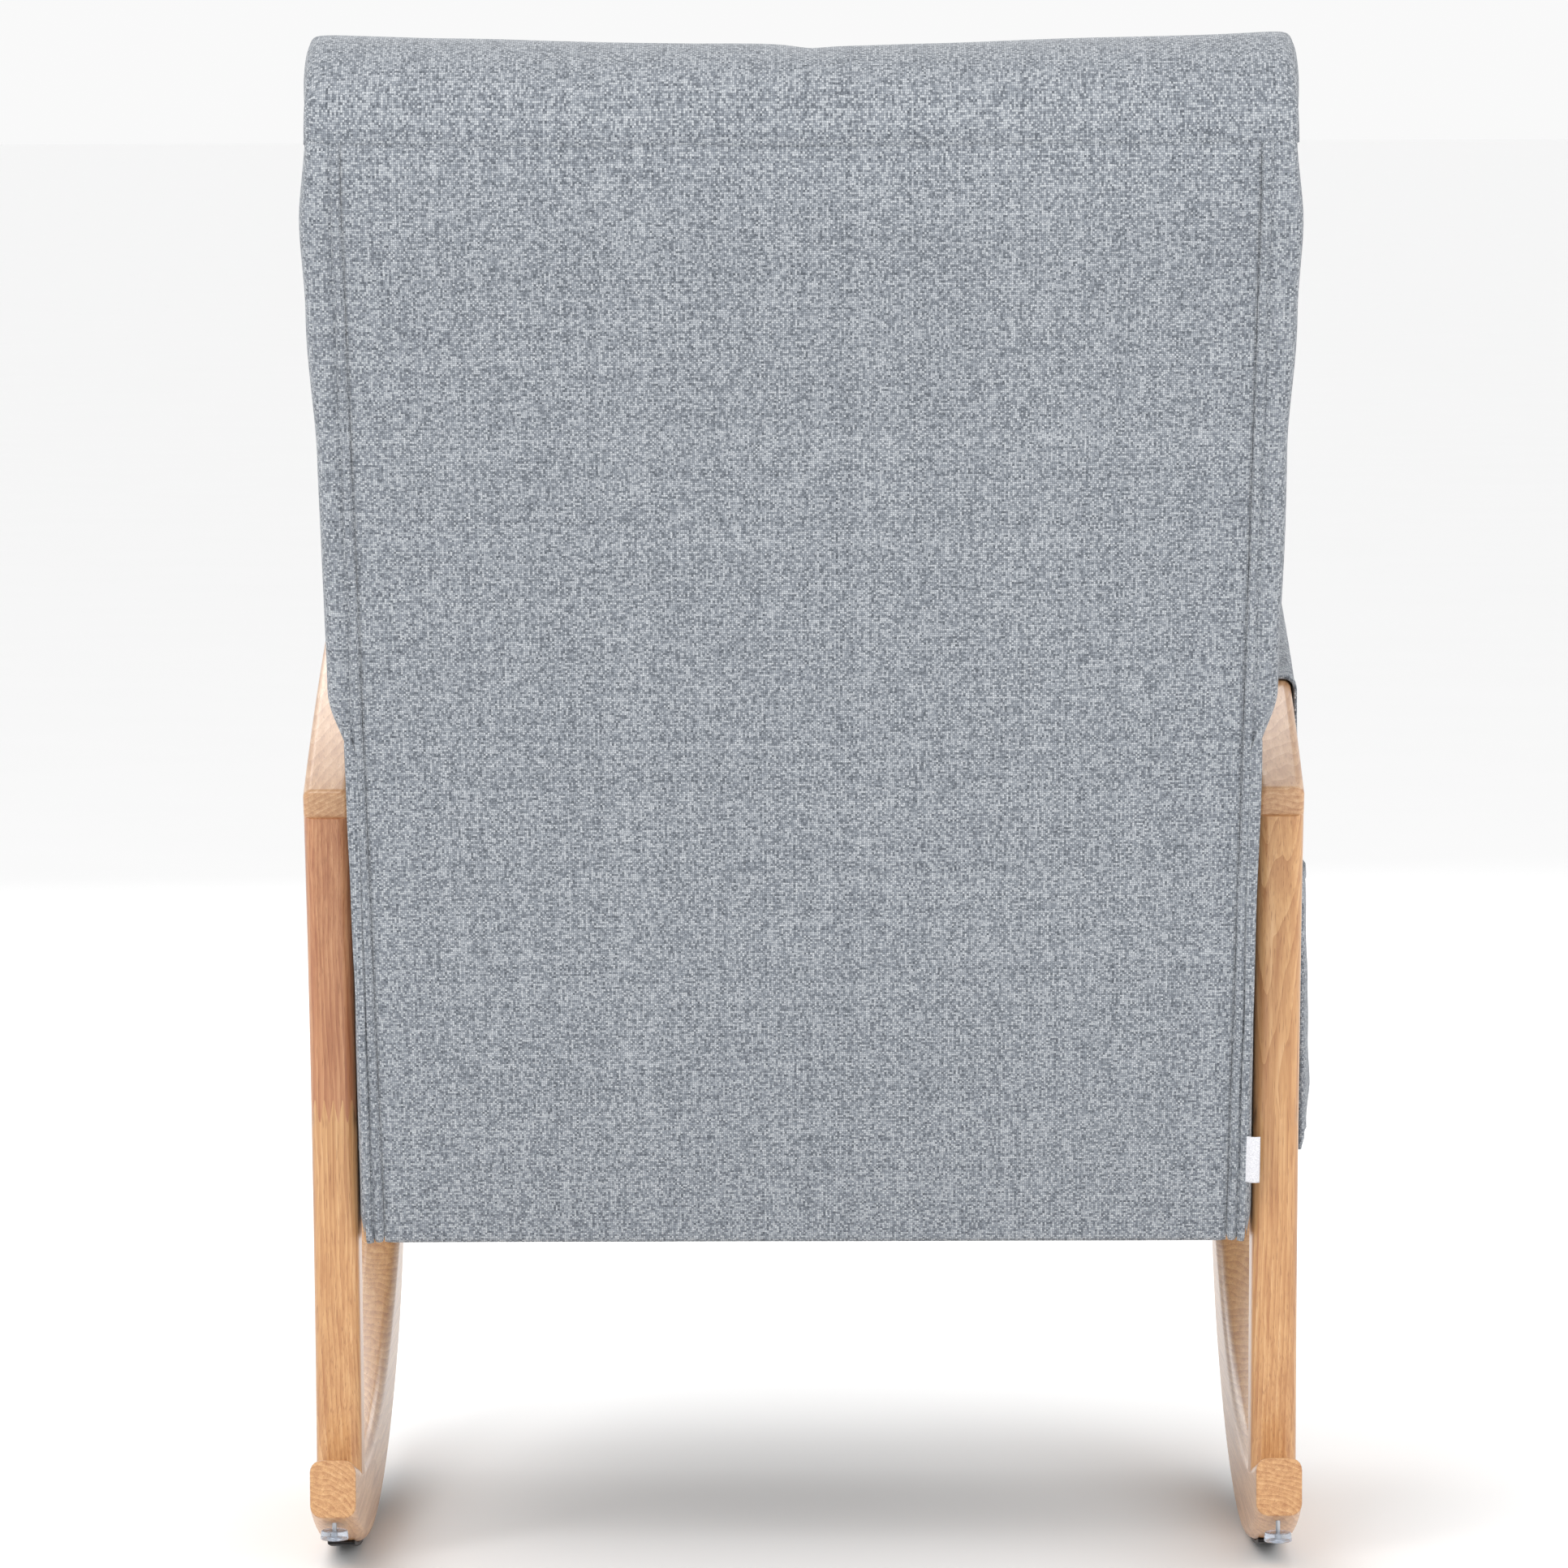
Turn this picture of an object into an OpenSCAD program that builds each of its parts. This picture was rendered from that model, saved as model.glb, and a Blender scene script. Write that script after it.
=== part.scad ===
// Upholstered rocking chair: two wooden side frames on curved rockers, a sprung-webbing seat,
// a high padded back with a pillow headrest, and a fabric pocket that lies over one arm.
// Millimetres. +Z is up, the chair faces -Y, and the origin is the point on the floor midway
// between the two places where the rockers touch it at rest.

/* [Side frames] */
// Width over the outer faces of the two side frames
chair_w = 667; // [560:1:860]
// Thickness of every frame member, across the chair
member_t = 31; // [26:1:44]
// Distance from the floor contact back to the tail of the rocker
tail_y = 222; // [185:1:268]
// Radius of the running edge of the rocker in front of the floor contact
rocker_r = 780; // [700:1:940]
// Radius of the running edge of the rocker behind the floor contact
rocker_rear_r = 560; // [500:1:680]
// Radius of the upper edge of the rocker, in front of its lowest place
rocker_top_r = 895; // [800:5:1100]
// Radius of the upper edge of the rocker, behind its lowest place
rocker_top_rear_r = 700; // [600:5:900]
// Height of the lowest place of the rocker's upper edge
rocker_mid_h = 64.6; // [58:0.2:80]
// Distance behind the floor contact of that lowest place
rocker_mid_y = 41; // [30:1:50]
// Radius of the outer edge where the rocker sweeps up into the front leg
bend_out_r = 272; // [260:1:284]
// Radius of the inner edge of that sweep
bend_in_r = 170; // [156:1:184]
// Slope of the rocker's upper edge where that inner edge starts, in degrees
bend_in_from = 25.8; // [24:0.1:27]
// Backward lean of the front leg, in degrees
leg_lean = 6; // [2:0.5:9]
// Radius of the rear face of the rear post
post_r = 1650; // [1400:10:2200]
// Depth of the rear post, front to back
post_d = 45; // [38:1:56]
// Height at which the rear post's own curve starts
post_z = 104; // [90:1:120]
// Distance behind the floor contact of the post's rear face at that height
post_y = 154; // [140:1:166]
// Lean of the post's rear face at that height, in degrees
post_lean = 3.5; // [2:0.5:6]
// Height of the arm's upper edge over the rear post
arm_rear_z = 548; // [500:1:600]
// Slope of the arm over the rear post, in degrees
arm_slope = 21.8; // [18:0.1:25]
// Radius of the arm's upper edge
arm_r = 2200; // [1900:10:3000]
// Thickness of the arm
arm_t = 25; // [20:1:32]
// How far the arm stands out past the front leg
arm_front_over = 14; // [6:1:24]
// How far the arm stands out past the rear post
arm_rear_over = 5; // [3:1:10]

/* [Joints and feet] */
// Height of the finger joint in the rear post
post_joint_z = 312; // [250:1:380]
// Height of the finger joint between rocker and front leg
leg_joint_z = 376; // [372:1:430]
// Length of the fingers
finger_l = 15; // [10:1:20]
// Number of fingers across the member
fingers = 5; // [4:1:7]
// Radius of the frame dowels
dowel_r = 4; // [3:0.5:5]
// Length of the frame dowels
dowel_l = 44; // [36:1:48]
// Thickness of the anti-slip strip under each rocker
tread_t = 3; // [2:0.5:5]
// Width of the anti-slip strip
tread_w = 19; // [14:1:24]
// Flats of the running edge that the strip covers behind the floor contact
tread_rear = 4; // [2:1:5]
// Flats of the running edge that the strip covers in front of the floor contact
tread_front = 7; // [3:1:8]
// Radius of the clear foot under each tail
glide_r = 9.5; // [7:0.5:12]
// Height of the clear foot
glide_h = 6.5; // [5:0.5:10]
// Radius of the steel pin that holds the foot
glide_pin_r = 1.5; // [1:0.25:2.5]
// Distance of the foot in front of the tail
glide_in = 15; // [13:1:30]
// Gap between the left foot and the rocker
glide_gap_left = 0.6; // [0.4:0.1:5]
// Gap between the right foot and the rocker
glide_gap_right = 3.6; // [0.4:0.1:5]

/* [Seat] */
// Gap between the seat's rear rail and the foot of the back's stiles
seat_back_gap = 8; // [5:1:16]
// Height of that edge
seat_z = 224; // [200:1:250]
// Rise of the seat towards the front, in degrees
seat_tilt = 6; // [3:0.5:8]
// Height of the seat rails
rail_h = 72; // [60:1:90]
// Thickness of the seat rails
rail_t = 20; // [16:1:28]
// Thickness of the firm deck pad over the webbing
deck_h = 32; // [20:1:45]
// Thickness of the seat cushion
seat_pad_h = 66; // [45:1:90]
// Gap between the upholstery and the side frames
side_gap = 1.5; // [1:0.1:4]
// Thickness of the upholstery cloth with its lining
cloth_t = 2.4; // [1.6:0.1:3]
// Height of the finger gap between seat cushion and back cushion
crease_gap = 2; // [1:0.5:8]
// Thickness of the cushions' cover and wadding round the foam
wadding_t = 8; // [5:0.5:14]

/* [Back] */
// Distance behind the floor contact of the back's rear lower edge
back_y = 169.4; // [164:0.2:182]
// Height of that edge
back_z = 228; // [210:1:250]
// Recline of the back, in degrees
recline = 17.9; // [14:0.1:21]
// Length of the back frame, along its slope
back_len = 721; // [600:1:820]
// Width of the stiles of the back frame
stile_w = 29; // [24:1:36]
// Depth of the stiles of the back frame
stile_d = 50; // [40:1:56]
// Depth of the rails of the back frame
cross_d = 30; // [22:1:34]
// Width of the rails of the back frame, along the slope
cross_w = 45; // [35:1:60]
// Thickness of the rear panel's cloth and lining
panel_t = 2.4; // [1.6:0.1:4]
// Distance of the rear panel's seam from the edge of the back, at the bottom
seam_in_low = 16; // [10:1:24]
// Distance of the rear panel's seam from the edge of the back, at the top
seam_in_top = 20; // [12:1:28]
// Angle up round the headrest's roll where the rear panel ends
seam_up = 24; // [16:1:40]
// Thickness of the back with its cushion, over the seat
back_low_t = 176; // [140:1:200]
// Thickness of the back just under the headrest
back_high_t = 166; // [130:1:190]
// How much wider the back is above the arms, on each side
back_flare = 15; // [0:1:24]
// Distance along the slope from over the arm to where the back starts to widen
flare_up = 10; // [6:1:40]
// Distance along the slope in which it widens
flare_l = 50; // [20:1:70]
// Distance along the slope from the seam under the headrest to the top of the frame
head_seam_down = 102; // [70:1:140]
// Radius of the roll over the top of the back
head_r = 78; // [60:1:85]
// Height of the middle of that roll over the top of the frame, along the slope
head_up = 23; // [16:1:60]
// How much wider the headrest is than the back, on each side
head_over = 12; // [0:1:24]

/* [Webbing and fittings] */
// Width of one strap of webbing
strap_w = 50; // [40:1:60]
// Thickness of the webbing
strap_t = 1.6; // [1:0.1:2.5]
// Radius of the frame bolts
bolt_r = 3; // [2.5:0.5:4]
// Radius of the bolt heads
bolt_head_r = 6; // [5:0.5:8]
// Height of the bolt heads
bolt_head_h = 4; // [3:0.5:6]
// Radius of the threaded inserts
insert_r = 5; // [4.5:0.5:6.5]
// Length of the threaded inserts
insert_l = 15; // [10:1:20]
// Clearance between a dowel, bolt or pin and its hole
fit = 0.05; // [0.02:0.01:0.1]

/* [Side pocket] */
// Distance behind the floor contact of the pocket's rear edge
pocket_rear_y = 74; // [60:1:104]
// Length of the pocket along the arm
pocket_len = 212; // [180:1:260]
// Height of the pocket's lower edge
pocket_z = 277; // [260:1:330]
// Height of the mouth of the pouch
pouch_top_z = 470; // [430:1:500]
// Clear depth inside the pouch
pouch_deep = 12; // [8:1:24]
// Thickness of the pocket cloth, two layers with a lining
pocket_t = 3; // [2:0.2:4]
// Gap between the pocket and the wood it hangs on
pocket_gap = 0.5; // [0.4:0.1:1.5]
// How far the inner flap hangs below the arm
flap_drop = 55; // [30:1:70]
// How far in front of the rear edge the inner flap starts
flap_in = 40; // [34:1:70]

/* [Hidden] */
$fn = 48;
wood = [0.80, 0.62, 0.42];
cloth = [0.66, 0.69, 0.70];
half_w = chair_w / 2;
inner_w = half_w - member_t;
pad_half = inner_w - side_gap;
seat_half = pad_half - cloth_t - 0.4;
stile_half = seat_half;

// Rocker, bend and leg, in side view: angles are from straight down, positive to the rear.
// The running edge is planed in short flats, and the chair stands level on the middle one.
flat_a = 3;
front_flats = 8;
bend_from = flat_a * (front_flats + 0.5);
tail_low_a = asin(tail_y / (rocker_rear_r - tread_t));
arc_step = 3;
rear_flats = floor((tail_low_a - 0.3) / flat_a - 0.5);
tail_top_a = asin((tail_y - rocker_mid_y) / rocker_top_rear_r);
function run_at(a, up) = let (r = a > 0 ? rocker_rear_r : rocker_r)
    [(r - up) * sin(a), r - (r - up) * cos(a)];
function run_edge(up, rear, front) = [for (k = [rear:-1:-front - 1]) run_at(flat_a * (k + 0.5), up)];
top_mid = [rocker_mid_y, rocker_mid_h + rocker_top_r];
top_rear_mid = [rocker_mid_y, rocker_mid_h + rocker_top_rear_r];
bend_out_mid = [0, rocker_r] + (rocker_r - tread_t - bend_out_r) * [-sin(bend_from), -cos(bend_from)];
bend_in_mid = top_mid + (rocker_top_r - bend_in_r) * [-sin(bend_in_from), -cos(bend_in_from)];
leg_a = 90 + leg_lean;
leg_up = [sin(leg_lean), cos(leg_lean)];
leg_out_foot = bend_out_mid + bend_out_r * [-sin(leg_a), -cos(leg_a)];
leg_in_foot = bend_in_mid + bend_in_r * [-sin(leg_a), -cos(leg_a)];

// Arm: angles are from straight up, positive to the rear
arm_mid = [tail_y - arm_r * sin(arm_slope), arm_rear_z - arm_r * cos(arm_slope)];
arm_under_r = arm_r - arm_t;
function arm_top_z(y) = arm_mid[1] + sqrt(arm_r * arm_r - (y - arm_mid[0]) * (y - arm_mid[0]));
function arm_a(y) = asin((y - arm_mid[0]) / arm_r);
leg_top_z = arm_top_z(leg_out_foot[0]) - arm_t / 2;
leg_run = (leg_top_z - leg_out_foot[1]) / leg_up[1];
leg_top_out = leg_out_foot + leg_run * leg_up;
leg_in_run = (leg_top_z - leg_in_foot[1]) / leg_up[1];
leg_top_in = leg_in_foot + leg_in_run * leg_up;
arm_front_y = leg_top_out[0] - arm_front_over;

// Rear post: angles are its lean from upright
post_mid = [post_y + post_r * cos(post_lean), post_z - post_r * sin(post_lean)];
function post_at(lean, r) = post_mid + r * [-cos(lean), sin(lean)];
function post_lean_at(z) = asin((z - post_mid[1]) / post_r);
function post_rear_y(z) = post_mid[0] - post_r * cos(post_lean_at(z));
post_low_a = post_lean_at(rocker_mid_h - 14);
post_top_z = arm_rear_z - arm_t / 2;
post_top_a = post_lean_at(post_top_z);
arm_rear_y = post_rear_y(arm_rear_z - arm_t) + arm_rear_over;

// The back's foot, the seat's rear edge in front of it, and the seat's front between the sweeps
seat_y = back_y - (panel_t + 0.3 + stile_d) * cos(recline) - seat_back_gap;
seat_front_y = bend_out_mid[0] - bend_out_r - 1;
seat_len = (seat_y - seat_front_y) / cos(seat_tilt);

// Seat: levels above the seat frame's lower edge
web_z = rail_h + 2 * strap_t;
deck_z = web_z + 0.3;
seat_pad_z = deck_z + deck_h + 0.3;
seat_top = seat_pad_z + seat_pad_h;

// Back: depths are from the rear face forward, heights along the slope
frame_rear = panel_t + 0.3;
stile_front = frame_rear + stile_d;
cross_front = frame_rear + cross_d;
lean_gap = recline - seat_tilt;
function seat_pt(y, z) = [seat_y, seat_z] + [y * cos(seat_tilt) + z * sin(seat_tilt),
                                             -y * sin(seat_tilt) + z * cos(seat_tilt)];
function to_back(p) = let (d = p - [back_y, back_z])
    [d[0] * cos(recline) - d[1] * sin(recline), d[0] * sin(recline) + d[1] * cos(recline)];
function back_pt(t, l) = [back_y, back_z] + [-t * cos(recline) + l * sin(recline),
                                             t * sin(recline) + l * cos(recline)];
seat_line = to_back(seat_pt(0, seat_top + crease_gap));
back_half_top = pad_half + back_flare;
panel_half_low = pad_half - seam_in_low;
panel_half_top = back_half_top - seam_in_top;
head_half = back_half_top + head_over;
head_seam = back_len - head_seam_down;
head_mid = back_len + head_up;
flare_from = to_back([arm_rear_y, arm_rear_z])[1] + flare_up;
flare_to = flare_from + flare_l;
function crease_l(t) = seat_line[1] - (t + seat_line[0]) * tan(lean_gap);

// Pocket
pocket_front_y = pocket_rear_y - pocket_len;
pocket_outer = half_w + pocket_gap + pocket_t;
pouch_outer = pocket_outer + pouch_deep + pocket_t;

// Points of an arc round mid, from angle a0 to a1, with dir -1 hanging down and 1 standing up
function arc(mid, r, a0, a1, dir, n = 12) =
    [for (i = [0:n]) let (a = a0 + (a1 - a0) * i / n) mid + r * [sin(a), dir * cos(a)]];

// A side view outline (y, z) given a thickness across the chair, from x upwards
module side(x, w) {
    translate([x, 0, 0]) rotate([90, 0, 90]) linear_extrude(w) children();
}

// A side view outline for the left (s = 1) or right (s = -1) side frame
module frame_side(s) {
    side(s > 0 ? inner_w : -half_w, member_t) children();
}

// The rocker, its sweep and the leg as one outline, up into the arm
module rocker_leg_outline() {
    polygon(concat(
        [run_at(tail_low_a, tread_t)],
        run_edge(tread_t, rear_flats, front_flats),
        arc(bend_out_mid, bend_out_r, -bend_from - arc_step, -leg_a, -1),
        [leg_top_out, leg_top_in],
        arc(bend_in_mid, bend_in_r, -leg_a, -bend_in_from, -1),
        arc(top_mid, rocker_top_r, arc_step - bend_in_from, -arc_step, -1, 8),
        arc(top_rear_mid, rocker_top_rear_r, 0, tail_top_a, -1, 8)));
}

module arm_outline() {
    a0 = arm_a(arm_rear_y);
    a1 = arm_a(arm_front_y);
    polygon(concat(arc(arm_mid, arm_r, a0, a1, 1, 14), arc(arm_mid, arm_under_r, a1, a0, 1, 14)));
}

module post_outline() {
    n = 10;
    lean = [for (i = [0:n]) post_low_a + (post_top_a - post_low_a) * i / n];
    polygon(concat([for (a = lean) post_at(a, post_r)],
                   [for (i = [n:-1:0]) post_at(lean[i], post_r + post_d)]));
}

// Everything above a row of fingers that runs across a member, at height z
module above_fingers(s, z) {
    p = member_t / fingers;
    x0 = s > 0 ? inner_w : -half_w;
    reach = 400;
    teeth = [for (i = [0:fingers - 1]) each [
        [x0 + (i + 0.06) * p, z], [x0 + (i + 0.44) * p, z + finger_l],
        [x0 + (i + 0.56) * p, z + finger_l], [x0 + (i + 0.94) * p, z]]];
    translate([0, 700, 0]) rotate([90, 0, 0]) linear_extrude(1400)
        polygon(concat([[x0 - 1, z]], teeth,
                       [[x0 + member_t + 1, z], [x0 + member_t + 1, z + reach], [x0 - 1, z + reach]]));
}

// One dowel hole or dowel, centred at a side view point and leaning back
module dowel(s, p, lean, r, l) {
    translate([s * (half_w - member_t / 2), p[0], p[1]]) rotate([-lean, 0, 0])
        cylinder(r = r, h = l, center = true);
}

// The six dowels of one side frame: two in each joint
module side_dowels(s, r, l) {
    post_foot = post_at(post_lean_at(rocker_mid_h + 6), post_r + post_d / 2);
    post_head = post_at(post_lean_at(arm_rear_z - arm_t - 6), post_r + post_d / 2);
    leg_head = (leg_top_out + leg_top_in) / 2 - [0, 20];
    for (k = [-1, 1]) {
        dowel(s, post_foot + [k * 11, 0], post_lean, r, l);
        dowel(s, post_head + k * 10 * [cos(arm_slope), -sin(arm_slope)], post_top_a, r, l * 0.7);
        dowel(s, leg_head + [k * 10, 0], leg_lean, r, l * 0.7);
    }
}

module rocker(s) {
    pin_y = tail_y - glide_in;
    color(wood) difference() {
        frame_side(s) rocker_leg_outline();
        above_fingers(s, leg_joint_z);
        side_dowels(s, dowel_r + fit, dowel_l + 1);
        seat_bolt_places(s) insert_hole();
        translate([s * (half_w - member_t / 2), pin_y, 0]) cylinder(r = glide_pin_r + fit, h = pin_top_z() + 1);
    }
}

module front_leg(s) {
    color(wood) difference() {
        intersection() {
            frame_side(s) rocker_leg_outline();
            above_fingers(s, leg_joint_z);
        }
        frame_side(s) arm_outline();
        side_dowels(s, dowel_r + fit, dowel_l + 1);
    }
}

// The whole post between rocker and arm, drilled for its dowels and inserts
module whole_post(s) {
    difference() {
        frame_side(s) difference() {
            post_outline();
            rocker_leg_outline();
            arm_outline();
        }
        side_dowels(s, dowel_r + fit, dowel_l + 1);
        back_bolt_places(s) insert_hole();
    }
}

module rear_post_lower(s) {
    color(wood) difference() {
        whole_post(s);
        above_fingers(s, post_joint_z);
    }
}

module rear_post_upper(s) {
    color(wood) intersection() {
        whole_post(s);
        above_fingers(s, post_joint_z);
    }
}

module armrest(s) {
    color(wood) difference() {
        frame_side(s) arm_outline();
        side_dowels(s, dowel_r + fit, dowel_l + 1);
    }
}

module frame_dowels() {
    color("tan") for (s = [-1, 1]) side_dowels(s, dowel_r, dowel_l);
}

function reverse(list) = [for (i = [len(list) - 1:-1:0]) list[i]];

// Rubber strip glued along the middle of the running edge
module tread(s) {
    color([0.08, 0.08, 0.08]) side(s * (half_w - member_t / 2) - tread_w / 2, tread_w)
        polygon(concat(run_edge(0, tread_rear, tread_front), reverse(run_edge(tread_t, tread_rear, tread_front))));
}

// Height of the rocker's underside over the foot, and of the pin's tip inside the wood
function glide_seat_z() = run_at(asin((tail_y - glide_in - glide_r) / (rocker_rear_r - tread_t)), tread_t)[1];
function pin_top_z() = glide_seat_z() + 26;

module glide(s, gap) {
    color([0.9, 0.95, 0.97, 0.5]) translate([s * (half_w - member_t / 2), tail_y - glide_in, 0])
        difference() {
            translate([0, 0, glide_seat_z() - gap - glide_h]) cylinder(r = glide_r, h = glide_h);
            cylinder(r = glide_pin_r + fit, h = pin_top_z());
            translate([0, 0, glide_seat_z() - gap - glide_h - 1]) cylinder(r = 2.4 * glide_pin_r + fit, h = 3);
        }
}

module glide_pins() {
    gaps = [glide_gap_right, glide_gap_left];
    color("silver") for (i = [0, 1]) {
        base = glide_seat_z() - gaps[i] - glide_h + 0.6;
        translate([(2 * i - 1) * (half_w - member_t / 2), tail_y - glide_in, base]) {
            cylinder(r = glide_pin_r, h = pin_top_z() - base);
            cylinder(r = 2.4 * glide_pin_r, h = 1.4);
        }
    }
}

// Seat pieces are drawn level and then tipped up at the front
module on_seat() {
    translate([0, seat_y, seat_z]) rotate([-seat_tilt, 0, 0]) children();
}

module seat_block(x0, x1, y0, y1, z0, z1) {
    on_seat() translate([x0, y0, z0]) cube([x1 - x0, y1 - y0, z1 - z0]);
}

module seat_side_rail(s) {
    x = s > 0 ? seat_half - rail_t : -seat_half;
    color("peru") difference() {
        seat_block(x, x + rail_t, -seat_len, 0, 0, rail_h);
        seat_bolt_places(s) bolt_hole();
    }
}

module seat_front_rail() {
    color("peru") seat_block(-seat_half + rail_t, seat_half - rail_t, -seat_len, rail_t - seat_len, 0, rail_h);
}

module seat_rear_rail() {
    color("peru") difference() {
        seat_block(-seat_half + rail_t, seat_half - rail_t, -rail_t, 0, 0, rail_h);
        wedge_screw_places() cylinder(r = bolt_r + fit, h = 200, center = true);
    }
}

// Triangular blocks in the corners of the seat box, low enough to leave the bolts free
module seat_corner_blocks() {
    leg = 60;
    x = seat_half - rail_t;
    color("sandybrown") on_seat() for (s = [-1, 1], f = [0, 1])
        translate([s * x, f ? rail_t - seat_len : -rail_t, 1]) linear_extrude(12)
            polygon([[0, 0], [-s * leg, 0], [0, (f ? 1 : -1) * leg]]);
}

// Straps run front to back, with cross straps laid over them
module seat_webbing() {
    color([0.75, 0.7, 0.6]) {
        for (i = [-2:2]) let (x = i * seat_half / 3)
            seat_block(x - strap_w / 2, x + strap_w / 2, -seat_len + 1, -1, rail_h, rail_h + strap_t);
        for (i = [1:4]) let (y = -seat_len * i / 5)
            seat_block(-seat_half + 1, seat_half - 1, y - strap_w / 2, y + strap_w / 2,
                       rail_h + strap_t, web_z);
    }
}

module seat_deck_pad() {
    color([0.9, 0.88, 0.8]) seat_block(-seat_half, seat_half, -seat_len, 0, deck_z, deck_z + deck_h);
}

// Side outline of the seat cushion, with its rounded front, drawn in from its face by a depth
module seat_cushion_outline(in) {
    nose = seat_pad_h / 2;
    mid = [-seat_len - 2 + nose, seat_pad_z + nose];
    rear = -4 - in;
    polygon(concat([[rear, seat_pad_z + in], [rear, seat_top - in]],
                   [for (i = [0:8]) mid + (nose - in) * [-sin(22.5 * i), cos(22.5 * i)]]));
}

// The cushion is drawn as its cover and wadding, round the space that the foam fills
module seat_cushion() {
    core = pad_half - wadding_t;
    color(cloth) on_seat() difference() {
        side(-pad_half, 2 * pad_half) seat_cushion_outline(0);
        side(-core, 2 * core) seat_cushion_outline(wadding_t);
    }
}

// Cloth round the front and both sides of the seat rails and deck pad
module seat_border() {
    color(cloth) difference() {
        seat_block(-pad_half, pad_half, -seat_len - cloth_t - 0.4, 0, 0, deck_z + deck_h);
        seat_block(-seat_half - 0.4, seat_half + 0.4, -seat_len - 0.4, 1, -1, deck_z + deck_h + 1);
        for (s = [-1, 1]) seat_bolt_places(s) bolt_hole();
    }
}

module seat_dust_cover() {
    color([0.12, 0.12, 0.12]) seat_block(-seat_half + 3, seat_half - 3, -seat_len + 3, -3, -1, -0.2);
}

// Back pieces are drawn upright, rear face at y = 0, and then reclined
module on_back() {
    translate([0, back_y, back_z]) rotate([-recline, 0, 0]) children();
}

module back_block(x0, x1, t0, t1, l0, l1) {
    on_back() translate([x0, -t1, l0]) cube([x1 - x0, t1 - t0, l1 - l0]);
}

// Front view outline (x, height) given a depth range from the rear face forward
module back_slab(t0, t1) {
    on_back() translate([0, -t0, 0]) rotate([90, 0, 0]) linear_extrude(t1 - t0) children();
}

module back_stile(s) {
    x = s > 0 ? stile_half - stile_w : -stile_half;
    color("peru") difference() {
        back_block(x, x + stile_w, frame_rear, stile_front, 0, back_len);
        back_bolt_places(s) bolt_hole();
    }
}

module back_cross(l) {
    x = stile_half - stile_w;
    color("peru") back_block(-x, x, frame_rear, cross_front, l, l + cross_w);
}

module back_bottom_rail() {
    difference() {
        back_cross(0);
        wedge_screw_places() cylinder(r = bolt_r + fit, h = 200, center = true);
    }
}

module back_webbing() {
    x = stile_half - stile_w;
    color([0.75, 0.7, 0.6]) {
        for (i = [-1.5:1.5]) let (c = i * x / 2)
            back_block(c - strap_w / 2, c + strap_w / 2, cross_front, cross_front + strap_t,
                       cross_w - 5, back_len - 2);
        for (i = [1:5]) let (l = back_len * i / 6)
            back_block(-x + 1, x - 1, cross_front + strap_t, cross_front + 2 * strap_t,
                       l - strap_w / 2, l + strap_w / 2);
    }
}

module back_deck_pad() {
    x = stile_half - stile_w - bolt_head_h - 1;
    color([0.9, 0.88, 0.8])
        back_block(-x, x, cross_front + 2 * strap_t + 0.3, stile_front - 0.3, cross_w + 2, back_len - 2);
}

// Outline of the back seen from the front: narrow between the arms, wider above them
module back_front_outline(low, high) {
    polygon([[-pad_half, low], [pad_half, low], [pad_half, flare_from], [back_half_top, flare_to],
             [back_half_top, high], [-back_half_top, high], [-back_half_top, flare_to],
             [-pad_half, flare_from]]);
}

// Like the seat cushion, its cover and wadding leave the space that the foam fills
module back_cushion() {
    t0 = stile_front + 0.3;
    high = head_seam - 0.5;
    full = high * 0.55;
    core = pad_half - wadding_t;
    color(cloth) difference() {
        intersection() {
            back_slab(t0, back_low_t) back_front_outline(0, high);
            on_back() side(-back_half_top, 2 * back_half_top) polygon([
                [-t0, crease_l(t0)], [-back_low_t, crease_l(back_low_t)],
                [-back_low_t, full], [-back_high_t, high], [-t0, high]]);
        }
        on_back() side(-core, 2 * core) polygon([
            [-t0 - wadding_t, crease_l(t0) + wadding_t],
            [wadding_t - back_low_t, crease_l(back_low_t) + wadding_t],
            [wadding_t - back_low_t, full], [wadding_t - back_high_t, high - wadding_t],
            [-t0 - wadding_t, high - wadding_t]]);
    }
}

// Side outline of the headrest, drawn in from its face by a depth
module headrest_outline(in) {
    mid = [-head_r - 10, head_mid];
    rear = -stile_front - 0.3 - in;
    step = in > 0 ? head_mid : back_len + 3;
    polygon(concat(
        [[rear, head_seam + in], [rear, step], [mid[0] + head_r - in, step]],
        [for (i = [0:16]) mid + (head_r - in) * [cos(11.25 * i), sin(11.25 * i)]],
        [[in - back_high_t - 2, head_seam + in]]));
}

// Pillow over the top of the back: a round roll in side view
module headrest_cushion() {
    core = head_half - wadding_t;
    color(cloth) on_back() difference() {
        side(-head_half, 2 * head_half) headrest_outline(0);
        side(-core, 2 * core) headrest_outline(wadding_t);
    }
}

// The rear panel's outline from behind, let out all round by a margin
module rear_panel_outline(high, margin) {
    low = panel_half_low + margin;
    top = panel_half_top + margin;
    polygon([[-low, -margin], [low, -margin], [top, high], [-top, high]]);
}

// The rear panel's cloth lies flat on the frame and then follows the headrest's roll up to its seam
module back_rear_panel() {
    mid = [-head_r - 10, head_mid];
    in = head_r + 0.3;
    out = in + panel_t;
    color(cloth) intersection() {
        back_slab(-10, head_r) rear_panel_outline(head_mid + head_r, 0);
        on_back() side(-panel_half_top, 2 * panel_half_top) polygon(concat(
            [[-panel_t, 0], [0, 0], [0, back_len + 0.5]],
            [for (i = [0:4]) mid + out * [cos(seam_up * i / 4), sin(seam_up * i / 4)]],
            [for (i = [4:-1:0]) mid + in * [cos(seam_up * i / 4), sin(seam_up * i / 4)]],
            [[-panel_t, back_len + 0.5]]));
    }
}

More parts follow.
